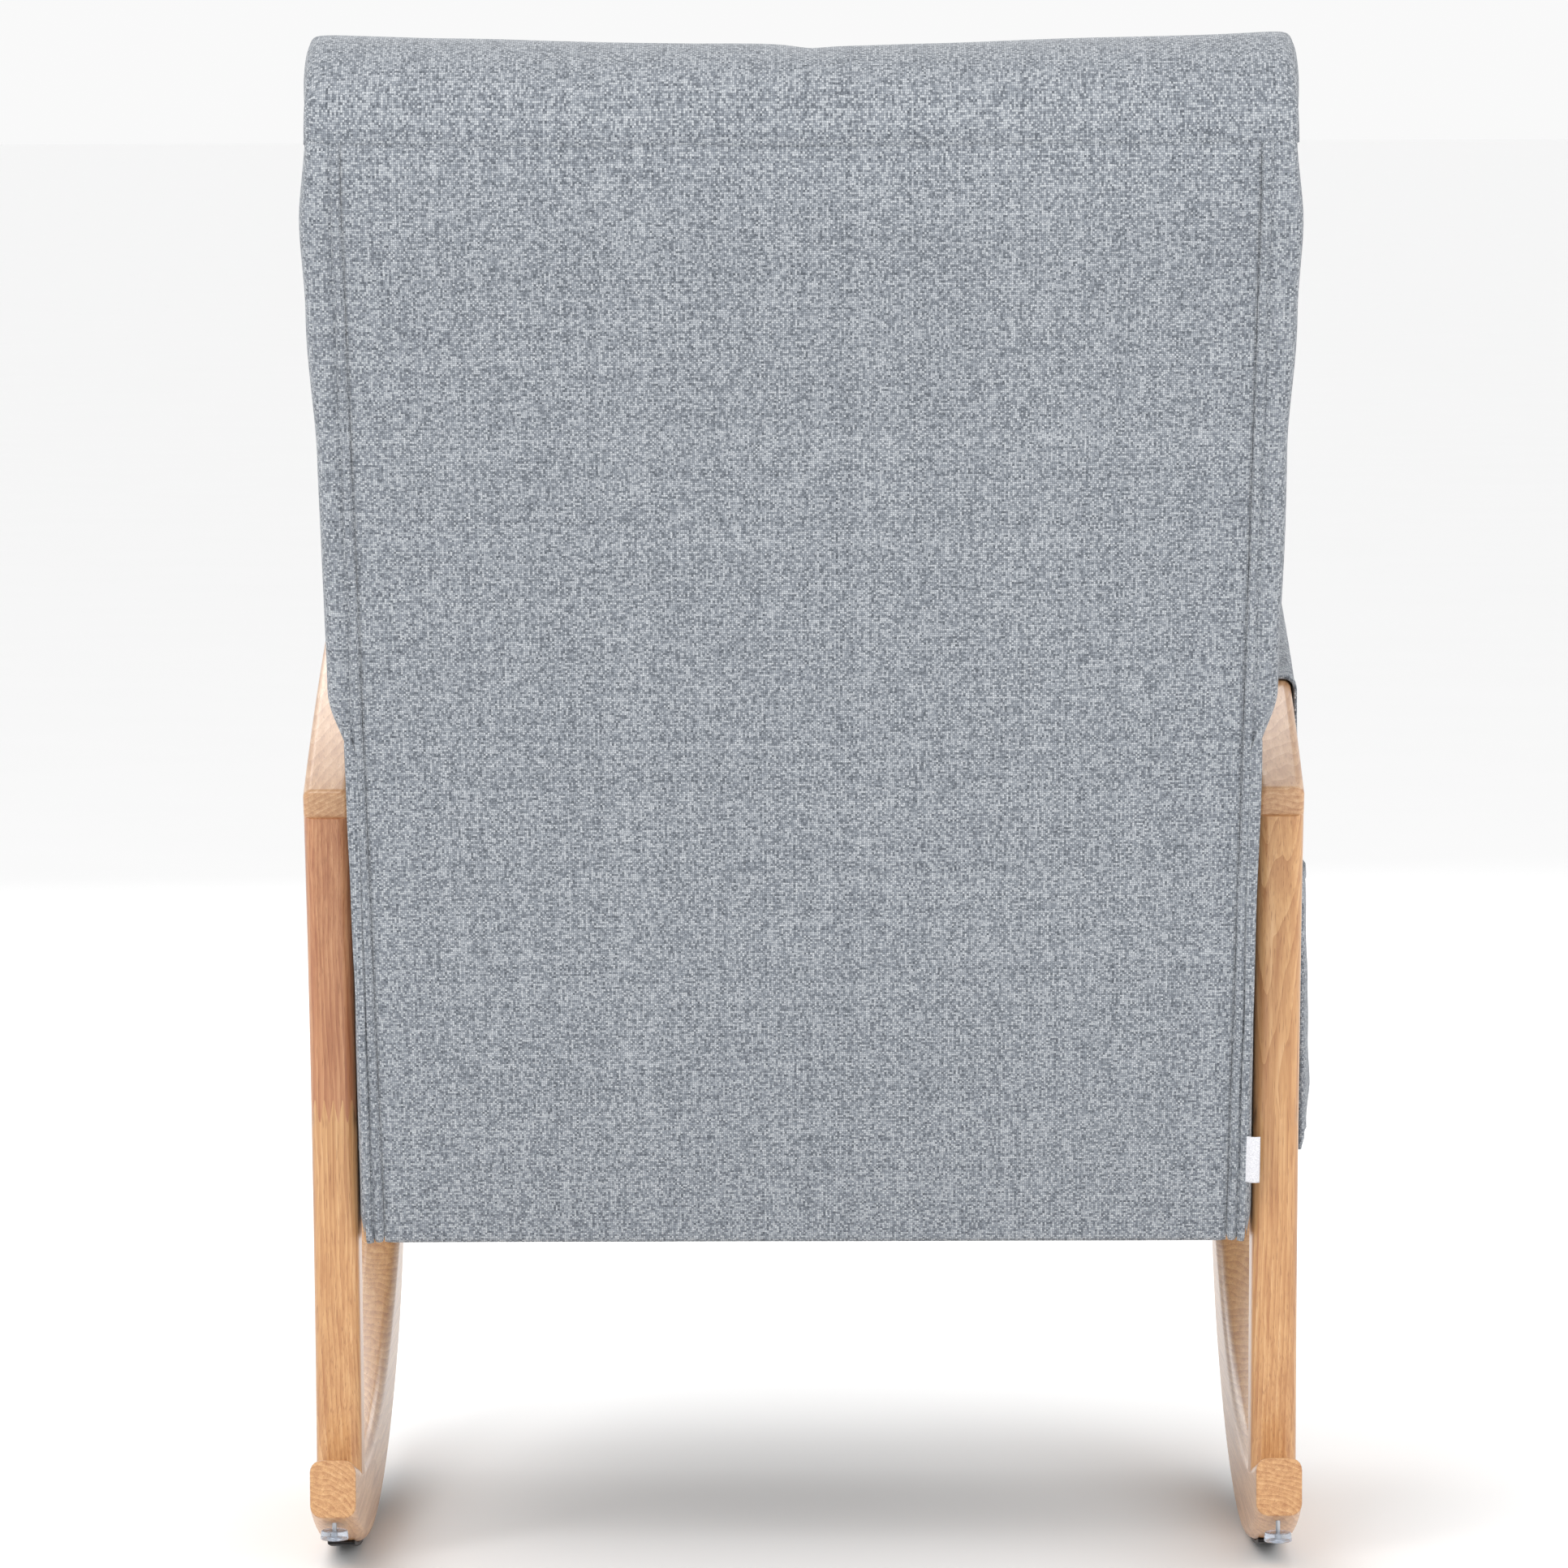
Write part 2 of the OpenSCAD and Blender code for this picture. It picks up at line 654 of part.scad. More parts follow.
// Padded band round the side of the back frame, from the rear panel's seam to the cushion
module back_boxing(s) {
    color(cloth) difference() {
        back_slab(0, stile_front) intersection() {
            back_front_outline(0, back_len + 2.5);
            translate([s > 0 ? 0 : -400, 0]) square([400, back_len + 3]);
        }
        back_block(-stile_half - 0.4, stile_half + 0.4, panel_t + 0.1, stile_front + 1, -1, back_len + 5);
        back_slab(-1, panel_t + 1) rear_panel_outline(back_len + 5, 0.4);
        back_bolt_places(s) bolt_hole();
    }
}

// Small blank woven tag caught in the outer seam, low on the right of the back
module side_tag() {
    w = 10;
    up = 45;
    out = pad_half + 5.5;
    color("white") back_block(-out, w - out, -1.2, -0.2, up, up + 34);
}

// Hardwood wedges fill the angle between the seat's rear rail and the back's bottom rail
module seat_wedges() {
    low = 8;
    high = cross_w - 6;
    w = 50;
    color("sandybrown") for (s = [-1, 1]) difference() {
        side(s * 190 - w / 2, w) polygon([
            back_pt(cross_front, low), back_pt(cross_front, high), seat_pt(0, high), seat_pt(0, low)]);
        wedge_screw_places() cylinder(r = bolt_r + fit, h = 200, center = true);
    }
}

// Screw axes across the wedges, level with the seat's own slope
module wedge_screw_places() {
    on_seat() for (s = [-1, 1]) translate([s * 190, 20, 24]) rotate([90, 0, 0]) children();
}

module wedge_screws() {
    color("silver") wedge_screw_places() {
        translate([0, 0, -18]) cylinder(r = bolt_r, h = 20 + rail_t + 18);
        translate([0, 0, 20 + rail_t]) cylinder(r = bolt_head_r, h = bolt_head_h);
    }
}

// Bolt axes run outwards: z = 0 is the inner face of the side frame
module seat_bolt_places(s) {
    edge = 9.5;
    for (a = [91, 100]) let (p = bend_in_mid + (bend_in_r + edge) * [-sin(a), -cos(a)])
        translate([s * inner_w, p[0], p[1]]) rotate([0, s * 90, 0]) children();
}

module back_bolt_places(s) {
    for (z = [290, 396]) let (p = post_at(post_lean_at(z), post_r + 17))
        translate([s * inner_w, p[0], p[1]]) rotate([0, s * 90, 0]) children();
}

module insert_hole() {
    translate([0, 0, -1]) cylinder(r = insert_r + fit, h = insert_l + 1);
    cylinder(r = bolt_r + 0.5, h = insert_l + 4);
}

module bolt_hole() {
    translate([0, 0, -120]) cylinder(r = bolt_r + 0.3, h = 121);
}

module bolt(grip) {
    translate([0, 0, -grip]) cylinder(r = bolt_r, h = grip + insert_l);
    translate([0, 0, -grip - bolt_head_h]) cylinder(r = bolt_head_r, h = bolt_head_h);
}

module seat_bolts() {
    color("silver") for (s = [-1, 1]) seat_bolt_places(s) bolt(inner_w - seat_half + rail_t);
}

module back_bolts() {
    color("silver") for (s = [-1, 1]) back_bolt_places(s) bolt(inner_w - stile_half + stile_w);
}

module insert() {
    difference() {
        cylinder(r = insert_r, h = insert_l);
        translate([0, 0, -1]) cylinder(r = bolt_r + fit, h = insert_l + 2);
    }
}

module threaded_inserts() {
    color("goldenrod") for (s = [-1, 1]) {
        seat_bolt_places(s) insert();
        back_bolt_places(s) insert();
    }
}

// Band that follows the arm's upper edge, between two distances from it
module arm_band(y0, y1, low, high) {
    polygon(concat(arc(arm_mid, arm_r + high, arm_a(y0), arm_a(y1), 1, 8),
                   arc(arm_mid, arm_r + low, arm_a(y1), arm_a(y0), 1, 8)));
}

// Cloth laid over the right arm: a top, a long outer side and a short inner flap
module pocket_saddle() {
    hem = pocket_gap + pocket_t;
    inner = inner_w - pocket_gap;
    flap_rear = pocket_rear_y - flap_in;
    color(cloth) union() {
        side(-pocket_outer, pocket_outer - inner)
            arm_band(pocket_rear_y, pocket_front_y, pocket_gap, hem);
        side(-pocket_outer, pocket_t) polygon(concat(
            [[pocket_rear_y, pocket_z], [pocket_front_y, pocket_z]],
            arc(arm_mid, arm_r + hem, arm_a(pocket_front_y), arm_a(pocket_rear_y), 1, 8)));
        side(-inner_w + pocket_gap, 1.2)
            arm_band(flap_rear, pocket_front_y, -arm_t - flap_drop, hem);
    }
}

// Pouch on the outer side, open at the top
module pocket_pouch() {
    room = pocket_t;
    color(cloth) difference() {
        side(-pouch_outer, pouch_outer - pocket_outer - 0.05)
            translate([pocket_front_y, pocket_z]) square([pocket_len, pouch_top_z - pocket_z]);
        side(-pouch_outer + room, pouch_deep + room)
            translate([pocket_front_y + room, pocket_z + room])
                square([pocket_len - 2 * room, pouch_top_z - pocket_z]);
    }
}

rocker(1);  // left_rocker
rocker(-1);  // right_rocker
front_leg(1);  // left_front_leg
front_leg(-1);  // right_front_leg
rear_post_lower(1);  // left_rear_post_lower
rear_post_lower(-1);  // right_rear_post_lower
rear_post_upper(1);  // left_rear_post_upper
rear_post_upper(-1);  // right_rear_post_upper
armrest(1);  // left_armrest
armrest(-1);  // right_armrest
frame_dowels();
tread(1);  // left_tread
tread(-1);  // right_tread
glide(1, glide_gap_left);  // left_glide
glide(-1, glide_gap_right);  // right_glide
glide_pins();
seat_side_rail(1);  // left_seat_rail
seat_side_rail(-1);  // right_seat_rail
seat_front_rail();
seat_rear_rail();
seat_corner_blocks();
seat_webbing();
seat_deck_pad();
seat_cushion();
seat_border();
seat_dust_cover();
back_stile(1);  // back_left_stile
back_stile(-1);  // back_right_stile
back_bottom_rail();
back_cross((back_len - cross_w) / 2);  // back_mid_rail
back_cross(back_len - cross_w);  // back_top_rail
back_webbing();
back_deck_pad();
back_cushion();
headrest_cushion();
back_rear_panel();
back_boxing(1);  // back_left_boxing
back_boxing(-1);  // back_right_boxing
side_tag();
seat_wedges();
wedge_screws();
seat_bolts();
back_bolts();
threaded_inserts();
pocket_saddle();
pocket_pouch();
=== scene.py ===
"""Upholstered rocking chair: the finished surface of every piece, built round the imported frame.

Metres. +Z is up, the chair faces -Y, and the origin is on the floor midway between the rockers'
contacts. The sitter's left is +X.
"""
import logging
import math
from dataclasses import dataclass, field
from enum import Enum, IntEnum
from functools import lru_cache
from typing import Callable, Iterable, Sequence

import bmesh
import bpy
from mathutils import Matrix, Vector, noise


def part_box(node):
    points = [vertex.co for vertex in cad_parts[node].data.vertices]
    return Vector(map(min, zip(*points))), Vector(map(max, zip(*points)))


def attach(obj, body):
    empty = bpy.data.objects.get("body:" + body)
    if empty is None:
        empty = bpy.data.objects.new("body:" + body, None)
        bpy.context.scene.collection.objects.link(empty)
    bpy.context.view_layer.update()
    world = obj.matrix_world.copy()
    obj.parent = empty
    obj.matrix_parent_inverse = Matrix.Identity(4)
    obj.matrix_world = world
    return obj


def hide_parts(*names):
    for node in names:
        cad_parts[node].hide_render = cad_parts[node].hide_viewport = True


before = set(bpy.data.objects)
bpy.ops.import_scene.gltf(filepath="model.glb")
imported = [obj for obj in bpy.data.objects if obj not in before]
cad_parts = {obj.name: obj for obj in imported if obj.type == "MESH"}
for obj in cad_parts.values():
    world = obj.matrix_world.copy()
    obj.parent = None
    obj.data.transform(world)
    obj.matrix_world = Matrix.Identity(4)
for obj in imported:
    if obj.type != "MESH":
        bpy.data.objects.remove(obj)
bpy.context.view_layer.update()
CHAIR = "chair"
POCKET = "pocket"
LOG = logging.getLogger("rocking_chair")
REAR = Vector((0, 1, 0))
FRONT = Vector((0, -1, 0))
DOWN = Vector((0, 0, -1))
OUTER_RIGHT = Vector((-1, 0, 0))


class Side(IntEnum):
    """Which side frame, by the sign of its X."""

    LEFT = 1
    RIGHT = -1

    @property
    def word(self) -> str:
        """The side's name as it stands in piece names."""
        return self.name.lower()


class Grain(Enum):
    """The way the grain of a wooden piece runs, as turns about X and Y in degrees."""

    UP = (5.0, 0.0)
    POST = (11.0, 0.0)
    ALONG = (90.0, 0.0)
    ARM = (102.0, 0.0)
    ACROSS = (0.0, 90.0)


@lru_cache(maxsize=None)
def box_of(node: str) -> tuple[Vector, Vector]:
    """The low and the high corner of a node's box, measured once.

    Args:
        node: its name.

    Returns:
        The two corners.
    """
    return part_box(node)


# ---------------------------------------------------------------- mesh helpers


def sin(degrees: float) -> float:
    """Sine of an angle in degrees."""
    return math.sin(math.radians(degrees))


def cos(degrees: float) -> float:
    """Cosine of an angle in degrees."""
    return math.cos(math.radians(degrees))


def smooth(x: float) -> float:
    """Smooth step from 0 at 0 to 1 at 1.

    Args:
        x: where on the step; held beyond both ends.

    Returns:
        The height of the step, from 0 to 1.
    """
    x = min(max(x, 0.0), 1.0)
    return x * x * (3 - 2 * x)


def between(a: float, b: float, share: float) -> float:
    """The value a share of the way from a to b.

    Args:
        a: the value at 0.
        b: the value at 1.
        share: how far along.

    Returns:
        The value.
    """
    return a + (b - a) * share


def follow(stops: Sequence[tuple[float, float]], x: float) -> float:
    """A value that runs smoothly through stops of (place, value).

    Args:
        stops: the places, in rising order, and the value at each.
        x: where the value is wanted.

    Returns:
        The value at x, held level beyond the first and last stop.
    """
    if x <= stops[0][0]:
        return stops[0][1]
    for (x0, v0), (x1, v1) in zip(stops, stops[1:]):
        if x <= x1:
            return between(v0, v1, smooth((x - x0) / (x1 - x0)))
    return stops[-1][1]


def arc(mid: Vector, radius: float, start: float, end: float, stand: int, steps: int) -> list[Vector]:
    """Points of an arc in side view.

    Args:
        mid: its centre, as (y, z).
        radius: its radius.
        start: first angle in degrees, from straight down or straight up, positive to the rear.
        end: last angle.
        stand: -1 to measure from straight down, 1 from straight up.
        steps: how many chords it has.

    Returns:
        The points, as (y, z).
    """
    angles = [between(start, end, i / steps) for i in range(steps + 1)]
    return [mid + radius * Vector((sin(a), stand * cos(a))) for a in angles]


def finish_mesh(bm: bmesh.types.BMesh, name: str) -> bpy.types.Object:
    """Turn a bmesh into a smooth shaded object at the origin.

    Args:
        bm: the shape, which is freed.
        name: the piece's name.

    Returns:
        The new object.
    """
    mesh = bpy.data.meshes.new(name)
    for face in bm.faces:
        face.smooth = True
    bm.to_mesh(mesh)
    bm.free()
    piece = bpy.data.objects.new(name, mesh)
    bpy.context.scene.collection.objects.link(piece)
    return piece


def settle(piece: bpy.types.Object) -> bpy.types.Object:
    """Apply all of a piece's modifiers to its mesh.

    Args:
        piece: the piece.

    Returns:
        The same piece.
    """
    graph = bpy.context.evaluated_depsgraph_get()
    mesh = bpy.data.meshes.new_from_object(piece.evaluated_get(graph))
    piece.modifiers.clear()
    piece.data = mesh
    return piece


def even_shading(piece: bpy.types.Object) -> None:
    """Weight the normals by face area, so that flat faces look flat beside their rounded edges.

    Args:
        piece: the piece.
    """
    weights = piece.modifiers.new("flat faces", "WEIGHTED_NORMAL")
    weights.keep_sharp = True
    weights.weight = 90


def prism(outline: Iterable[Vector], x_low: float, width: float) -> bmesh.types.BMesh:
    """A side view outline given a width across the chair.

    Args:
        outline: its points, as (y, z).
        x_low: where it starts.
        width: how wide it is.

    Returns:
        The closed prism.
    """
    bm = bmesh.new()
    cap = bm.faces.new([bm.verts.new((x_low, p.x, p.y)) for p in outline])
    grown = bmesh.ops.extrude_face_region(bm, geom=[cap])["geom"]
    moved = [v for v in grown if isinstance(v, bmesh.types.BMVert)]
    bmesh.ops.translate(bm, verts=moved, vec=(width, 0, 0))
    bmesh.ops.recalc_face_normals(bm, faces=bm.faces[:])
    return bm


def round_over(bm: bmesh.types.BMesh, edges: list, radius: float, segments: int = 5) -> None:
    """Round some edges of a shape to a radius.

    Args:
        bm: the shape.
        edges: the edges to round.
        radius: the radius.
        segments: facets in each rounding.
    """
    bmesh.ops.bevel(bm, geom=edges, offset=radius, offset_type="OFFSET", affect="EDGES",
                    segments=segments, profile=0.5, material=-1, clamp_overlap=True)


def rim_of(faces: Iterable[bmesh.types.BMFace]) -> list:
    """The edges round some faces, each once and always in the same order.

    Args:
        faces: the faces.

    Returns:
        Their edges.
    """
    return list(dict.fromkeys(edge for face in faces for edge in face.edges))


def trim(bm: bmesh.types.BMesh, point: Vector, away: Vector) -> None:
    """Saw off what lies beyond a plane and close the cut.

    Args:
        bm: the shape.
        point: a point of the plane.
        away: its direction, towards what is sawn off.
    """
    everything = bm.verts[:] + bm.edges[:] + bm.faces[:]
    cut = bmesh.ops.bisect_plane(bm, geom=everything, dist=1e-6, plane_co=point, plane_no=away,
                                 clear_outer=True)["geom_cut"]
    bmesh.ops.edgeloop_fill(bm, edges=[e for e in cut if isinstance(e, bmesh.types.BMEdge)])
    bmesh.ops.recalc_face_normals(bm, faces=bm.faces[:])


def carve(piece: bpy.types.Object, cutter: bpy.types.Object, operation: str) -> bpy.types.Object:
    """Apply an exact boolean with another closed shape.

    Args:
        piece: the piece to cut.
        cutter: the closed shape.
        operation: DIFFERENCE or INTERSECT.

    Returns:
        The same piece, cut.
    """
    knife = piece.modifiers.new("joint", "BOOLEAN")
    knife.object = cutter
    knife.operation = operation
    knife.solver = "EXACT"
    return settle(piece)


def formed_grid(name: str, columns: int, rows: int,
                place: Callable[[float, float], Vector]) -> bpy.types.Object:
    """A sheet made from a flat grid, each of whose points is moved to its place.

    Args:
        name: the piece's name.
        columns: cells along u.
        rows: cells along v.
        place: gives a point for u and v, each from 0 to 1.

    Returns:
        The sheet.
    """
    bm = bmesh.new()
    bmesh.ops.create_grid(bm, x_segments=columns, y_segments=rows, size=0.5)
    for vert in bm.verts:
        vert.co = place(vert.co.x + 0.5, vert.co.y + 0.5)
    return finish_mesh(bm, name)


def thicken(sheet: bpy.types.Object, thick: float, outward: Vector) -> None:
    """Turn a sheet's faces outward and give it its thickness on the inner side.

    Args:
        sheet: an open sheet.
        thick: its thickness.
        outward: a direction in which the sheet's farthest face looks outward.
    """
    bm = bmesh.new()
    bm.from_mesh(sheet.data)
    bmesh.ops.recalc_face_normals(bm, faces=bm.faces[:])
    bm.normal_update()
    face = max(bm.faces, key=lambda f: f.calc_center_median().dot(outward))
    if face.normal.dot(outward) < 0:
        bmesh.ops.reverse_faces(bm, faces=bm.faces[:])
    bm.to_mesh(sheet.data)
    bm.free()
    wall = sheet.modifiers.new("cloth thickness", "SOLIDIFY")
    wall.thickness = thick
    wall.offset = -1
    settle(sheet)


def lay_weave(piece: bpy.types.Object, tilt: float = 0.0) -> None:
    """Give a cloth piece a UV map in metres, laid on it from the nearest of six sides.

    Args:
        piece: the piece, with its final mesh.
        tilt: how far the cloth's own upright leans back, in degrees.
    """
    turn = Matrix.Rotation(math.radians(tilt), 3, "X")
    mesh = piece.data
    layer = mesh.uv_layers.new(name="weave")
    points = [turn @ v.co for v in mesh.vertices]
    for face in mesh.polygons:
        normal = turn @ face.normal.copy()
        widest = max(range(3), key=lambda i: abs(normal[i]))
        a, b = [(1, 2), (0, 2), (0, 1)][widest]
        for loop, vert in zip(face.loop_indices, face.vertices):
            layer.data[loop].uv = (points[vert][a], points[vert][b])


# ---------------------------------------------------------------- finishes


class Recipe:
    """Builds one node material, a step at a time."""

    def __init__(self, name: str) -> None:
        """Start a material with its shader."""
        self.material = bpy.data.materials.new(name)
        self.material.use_nodes = True
        self.tree = self.material.node_tree
        self.shader = self.tree.nodes["Principled BSDF"]

    def node(self, kind: str, **settings: object) -> bpy.types.Node:
        """Add a node and set its plain properties.

        Args:
            kind: the node's type.
            settings: its properties.

        Returns:
            The node.
        """
        made = self.tree.nodes.new(kind)
        for key, value in settings.items():
            setattr(made, key, value)
        return made

    def feed(self, socket: bpy.types.NodeSocket, value: object) -> None:
        """Link an output to a socket, or set the socket's own value.

        Args:
            socket: the input.
            value: an output or a plain value.
        """
        if isinstance(value, bpy.types.NodeSocket):
            self.tree.links.new(value, socket)
        else:
            socket.default_value = value

    def math(self, operation: str, *values: object) -> bpy.types.NodeSocket:
        """A Math node's result.

        Args:
            operation: its operation.
            values: its inputs, as outputs or numbers.

        Returns:
            Its output.
        """
        made = self.node("ShaderNodeMath", operation=operation)
        for socket, value in zip(made.inputs, values):
            self.feed(socket, value)
        return made.outputs[0]

    def vector(self, operation: str, *values: object) -> bpy.types.NodeSocket:
        """A Vector Math node's result.

        Args:
            operation: its operation.
            values: its inputs, as outputs or vectors.

        Returns:
            Its output.
        """
        made = self.node("ShaderNodeVectorMath", operation=operation)
        for socket, value in zip(made.inputs, values):
            self.feed(socket, value)
        return made.outputs[0]

    def place(self, source: bpy.types.NodeSocket, shift: Sequence[float], turn: Sequence[float],
              scale: Sequence[float]) -> bpy.types.NodeSocket:
        """Coordinates moved, turned in degrees and scaled."""
        made = self.node("ShaderNodeMapping")
        self.feed(made.inputs["Vector"], source)
        made.inputs["Location"].default_value = shift
        made.inputs["Rotation"].default_value = [math.radians(a) for a in turn]
        made.inputs["Scale"].default_value = scale
        return made.outputs[0]

    def noise(self, source: bpy.types.NodeSocket, scale: float, detail: float = 2.0,
              rough: float = 0.5) -> bpy.types.NodeSocket:
        """A Noise texture's value."""
        made = self.node("ShaderNodeTexNoise")
        self.feed(made.inputs["Vector"], source)
        made.inputs["Scale"].default_value = scale
        made.inputs["Detail"].default_value = detail
        made.inputs["Roughness"].default_value = rough
        return made.outputs["Fac"]

    def ramp(self, source: bpy.types.NodeSocket, stops: Sequence[tuple]) -> bpy.types.NodeSocket:
        """A Color Ramp through stops of (place, colour)."""
        made = self.node("ShaderNodeValToRGB")
        self.feed(made.inputs[0], source)
        bar = made.color_ramp
        while len(bar.elements) < len(stops):
            bar.elements.new(0.5)
        for element, (place, colour) in zip(bar.elements, stops):
            element.position = place
            element.color = (*colour, 1.0)
        return made.outputs["Color"]

    def blend(self, kind: str, share: object, first: object, second: object) -> bpy.types.NodeSocket:
        """A Mix node on colours."""
        made = self.node("ShaderNodeMix", data_type="RGBA", blend_type=kind)
        self.feed(made.inputs["Factor"], share)
        for key, value in (("A", first), ("B", second)):
            socket = [s for s in made.inputs if s.name == key and s.type == "RGBA"][0]
            self.feed(socket, value if isinstance(value, bpy.types.NodeSocket) else (*value, 1.0))
        return [s for s in made.outputs if s.type == "RGBA"][0]

    def drift(self, value: bpy.types.NodeSocket) -> bpy.types.NodeSocket:
        """A value centred on nought and spread to all three directions."""
        centred = self.math("SUBTRACT", value, 0.5)
        made = self.node("ShaderNodeCombineXYZ")
        for socket in made.inputs:
            self.feed(socket, centred)
        return made.outputs[0]

    def relief(self, height: bpy.types.NodeSocket, depth: float, strength: float = 1.0) -> None:
        """Bump the surface by a height, whose full swing is depth metres.

        Args:
            height: the height, from 0 to 1.
            depth: its full swing.
            strength: how much of it shows.
        """
        bump = self.node("ShaderNodeBump")
        bump.inputs["Strength"].default_value = strength
        bump.inputs["Distance"].default_value = depth
        self.feed(bump.inputs["Height"], height)
        self.feed(self.shader.inputs["Normal"], bump.outputs[0])

    def surface(self, colour: object, rough: float, **sockets: object) -> bpy.types.Material:
        """Set the shader and give the finished material back.

        Args:
            colour: base colour, as an output or a colour.
            rough: roughness.
            sockets: other shader inputs, with _ for a space.

        Returns:
            The material.
        """
        self.feed(self.shader.inputs["Base Color"],
                  colour if isinstance(colour, bpy.types.NodeSocket) else (*colour, 1.0))
        self.feed(self.shader.inputs["Roughness"], rough)
        for key, value in sockets.items():
            self.shader.inputs[key.replace("_", " ")].default_value = value
        return self.material


def linear(red: int, green: int, blue: int) -> tuple[float, float, float]:
    """A colour given as 0 to 255 per channel, made linear.

    Args:
        red: red channel.
        green: green channel.
        blue: blue channel.

    Returns:
        The linear colour.
    """
    return tuple((c / 255 / 12.92) if c <= 10 else ((c / 255 + 0.055) / 1.055) ** 2.4
                 for c in (red, green, blue))


@dataclass(frozen=True)
class LacqueredWood:
    """Pale hardwood with growth rings, streaks and pores, under satin lacquer."""

    name: str
    grain: Grain
    heart: tuple[float, float, float]
    dark: tuple[float, float, float] = linear(176, 124, 80)
    mid: tuple[float, float, float] = linear(208, 162, 112)
    pale: tuple[float, float, float] = linear(226, 187, 141)
    ring: float = 92.0
    gloss: float = 0.34

    def make(self) -> bpy.types.Material:
        """Build the material: the pattern runs along its own Z."""
        w = Recipe(self.name)
        spot = w.node("ShaderNodeTexCoord").outputs["Object"]
        upright = w.place(spot, (0, 0, 0), (*self.grain.value, 0), (1, 1, 1))
        board = w.place(upright, self.heart, (0, 0, 0), (1, 1, 0.11))
        drift = w.noise(w.place(upright, (3, 1, 2), (0, 0, 0), (1, 1, 0.16)), 22, 3)
        shifted = w.vector("ADD", board, w.vector("MULTIPLY", w.drift(drift), (0.02, 0.02, 0)))
        rings = w.node("ShaderNodeTexWave", wave_type="RINGS", rings_direction="Z", wave_profile="SAW")
        w.feed(rings.inputs["Vector"], shifted)
        rings.inputs["Scale"].default_value = self.ring
        rings.inputs["Distortion"].default_value = 0.9
        rings.inputs["Detail"].default_value = 2.0
        streak = w.noise(w.place(upright, (7, 5, 1), (0, 0, 0), (1, 1, 0.035)), 260, 4, 0.6)
        fibre = w.noise(w.place(upright, (2, 8, 4), (0, 0, 0), (1, 1, 0.02)), 1100, 2, 0.6)
        figure = w.math("ADD", w.math("MULTIPLY", rings.outputs["Fac"], 0.26),
                        w.math("MULTIPLY", streak, 0.92))
        tone = w.ramp(figure, [(0.22, self.pale), (0.5, self.mid), (0.86, self.dark)])
        patch = w.noise(upright, 9, 2)
        tone = w.blend("MULTIPLY", w.math("MULTIPLY", patch, 0.45), tone, linear(226, 196, 170))
        pore = w.noise(w.place(upright, (9, 3, 6), (0, 0, 0), (1, 1, 0.05)), 1500, 1, 0.4)
        pores = w.ramp(pore, [(0.60, (0, 0, 0)), (0.70, (1, 1, 1))])
        tone = w.blend("MIX", w.math("MULTIPLY", pores, 0.42), tone, linear(142, 92, 56))
        sheen = w.ramp(fibre, [(0.3, (0.3, 0.3, 0.3)), (0.7, (0.7, 0.7, 0.7))])
        tone = w.blend("SOFT_LIGHT", 0.35, tone, sheen)
        w.relief(w.math("SUBTRACT", w.math("MULTIPLY", fibre, 0.4), pores), 0.00012, 0.5)
        return w.surface(tone, self.gloss, Coat_Weight=0.35, Coat_Roughness=0.22)


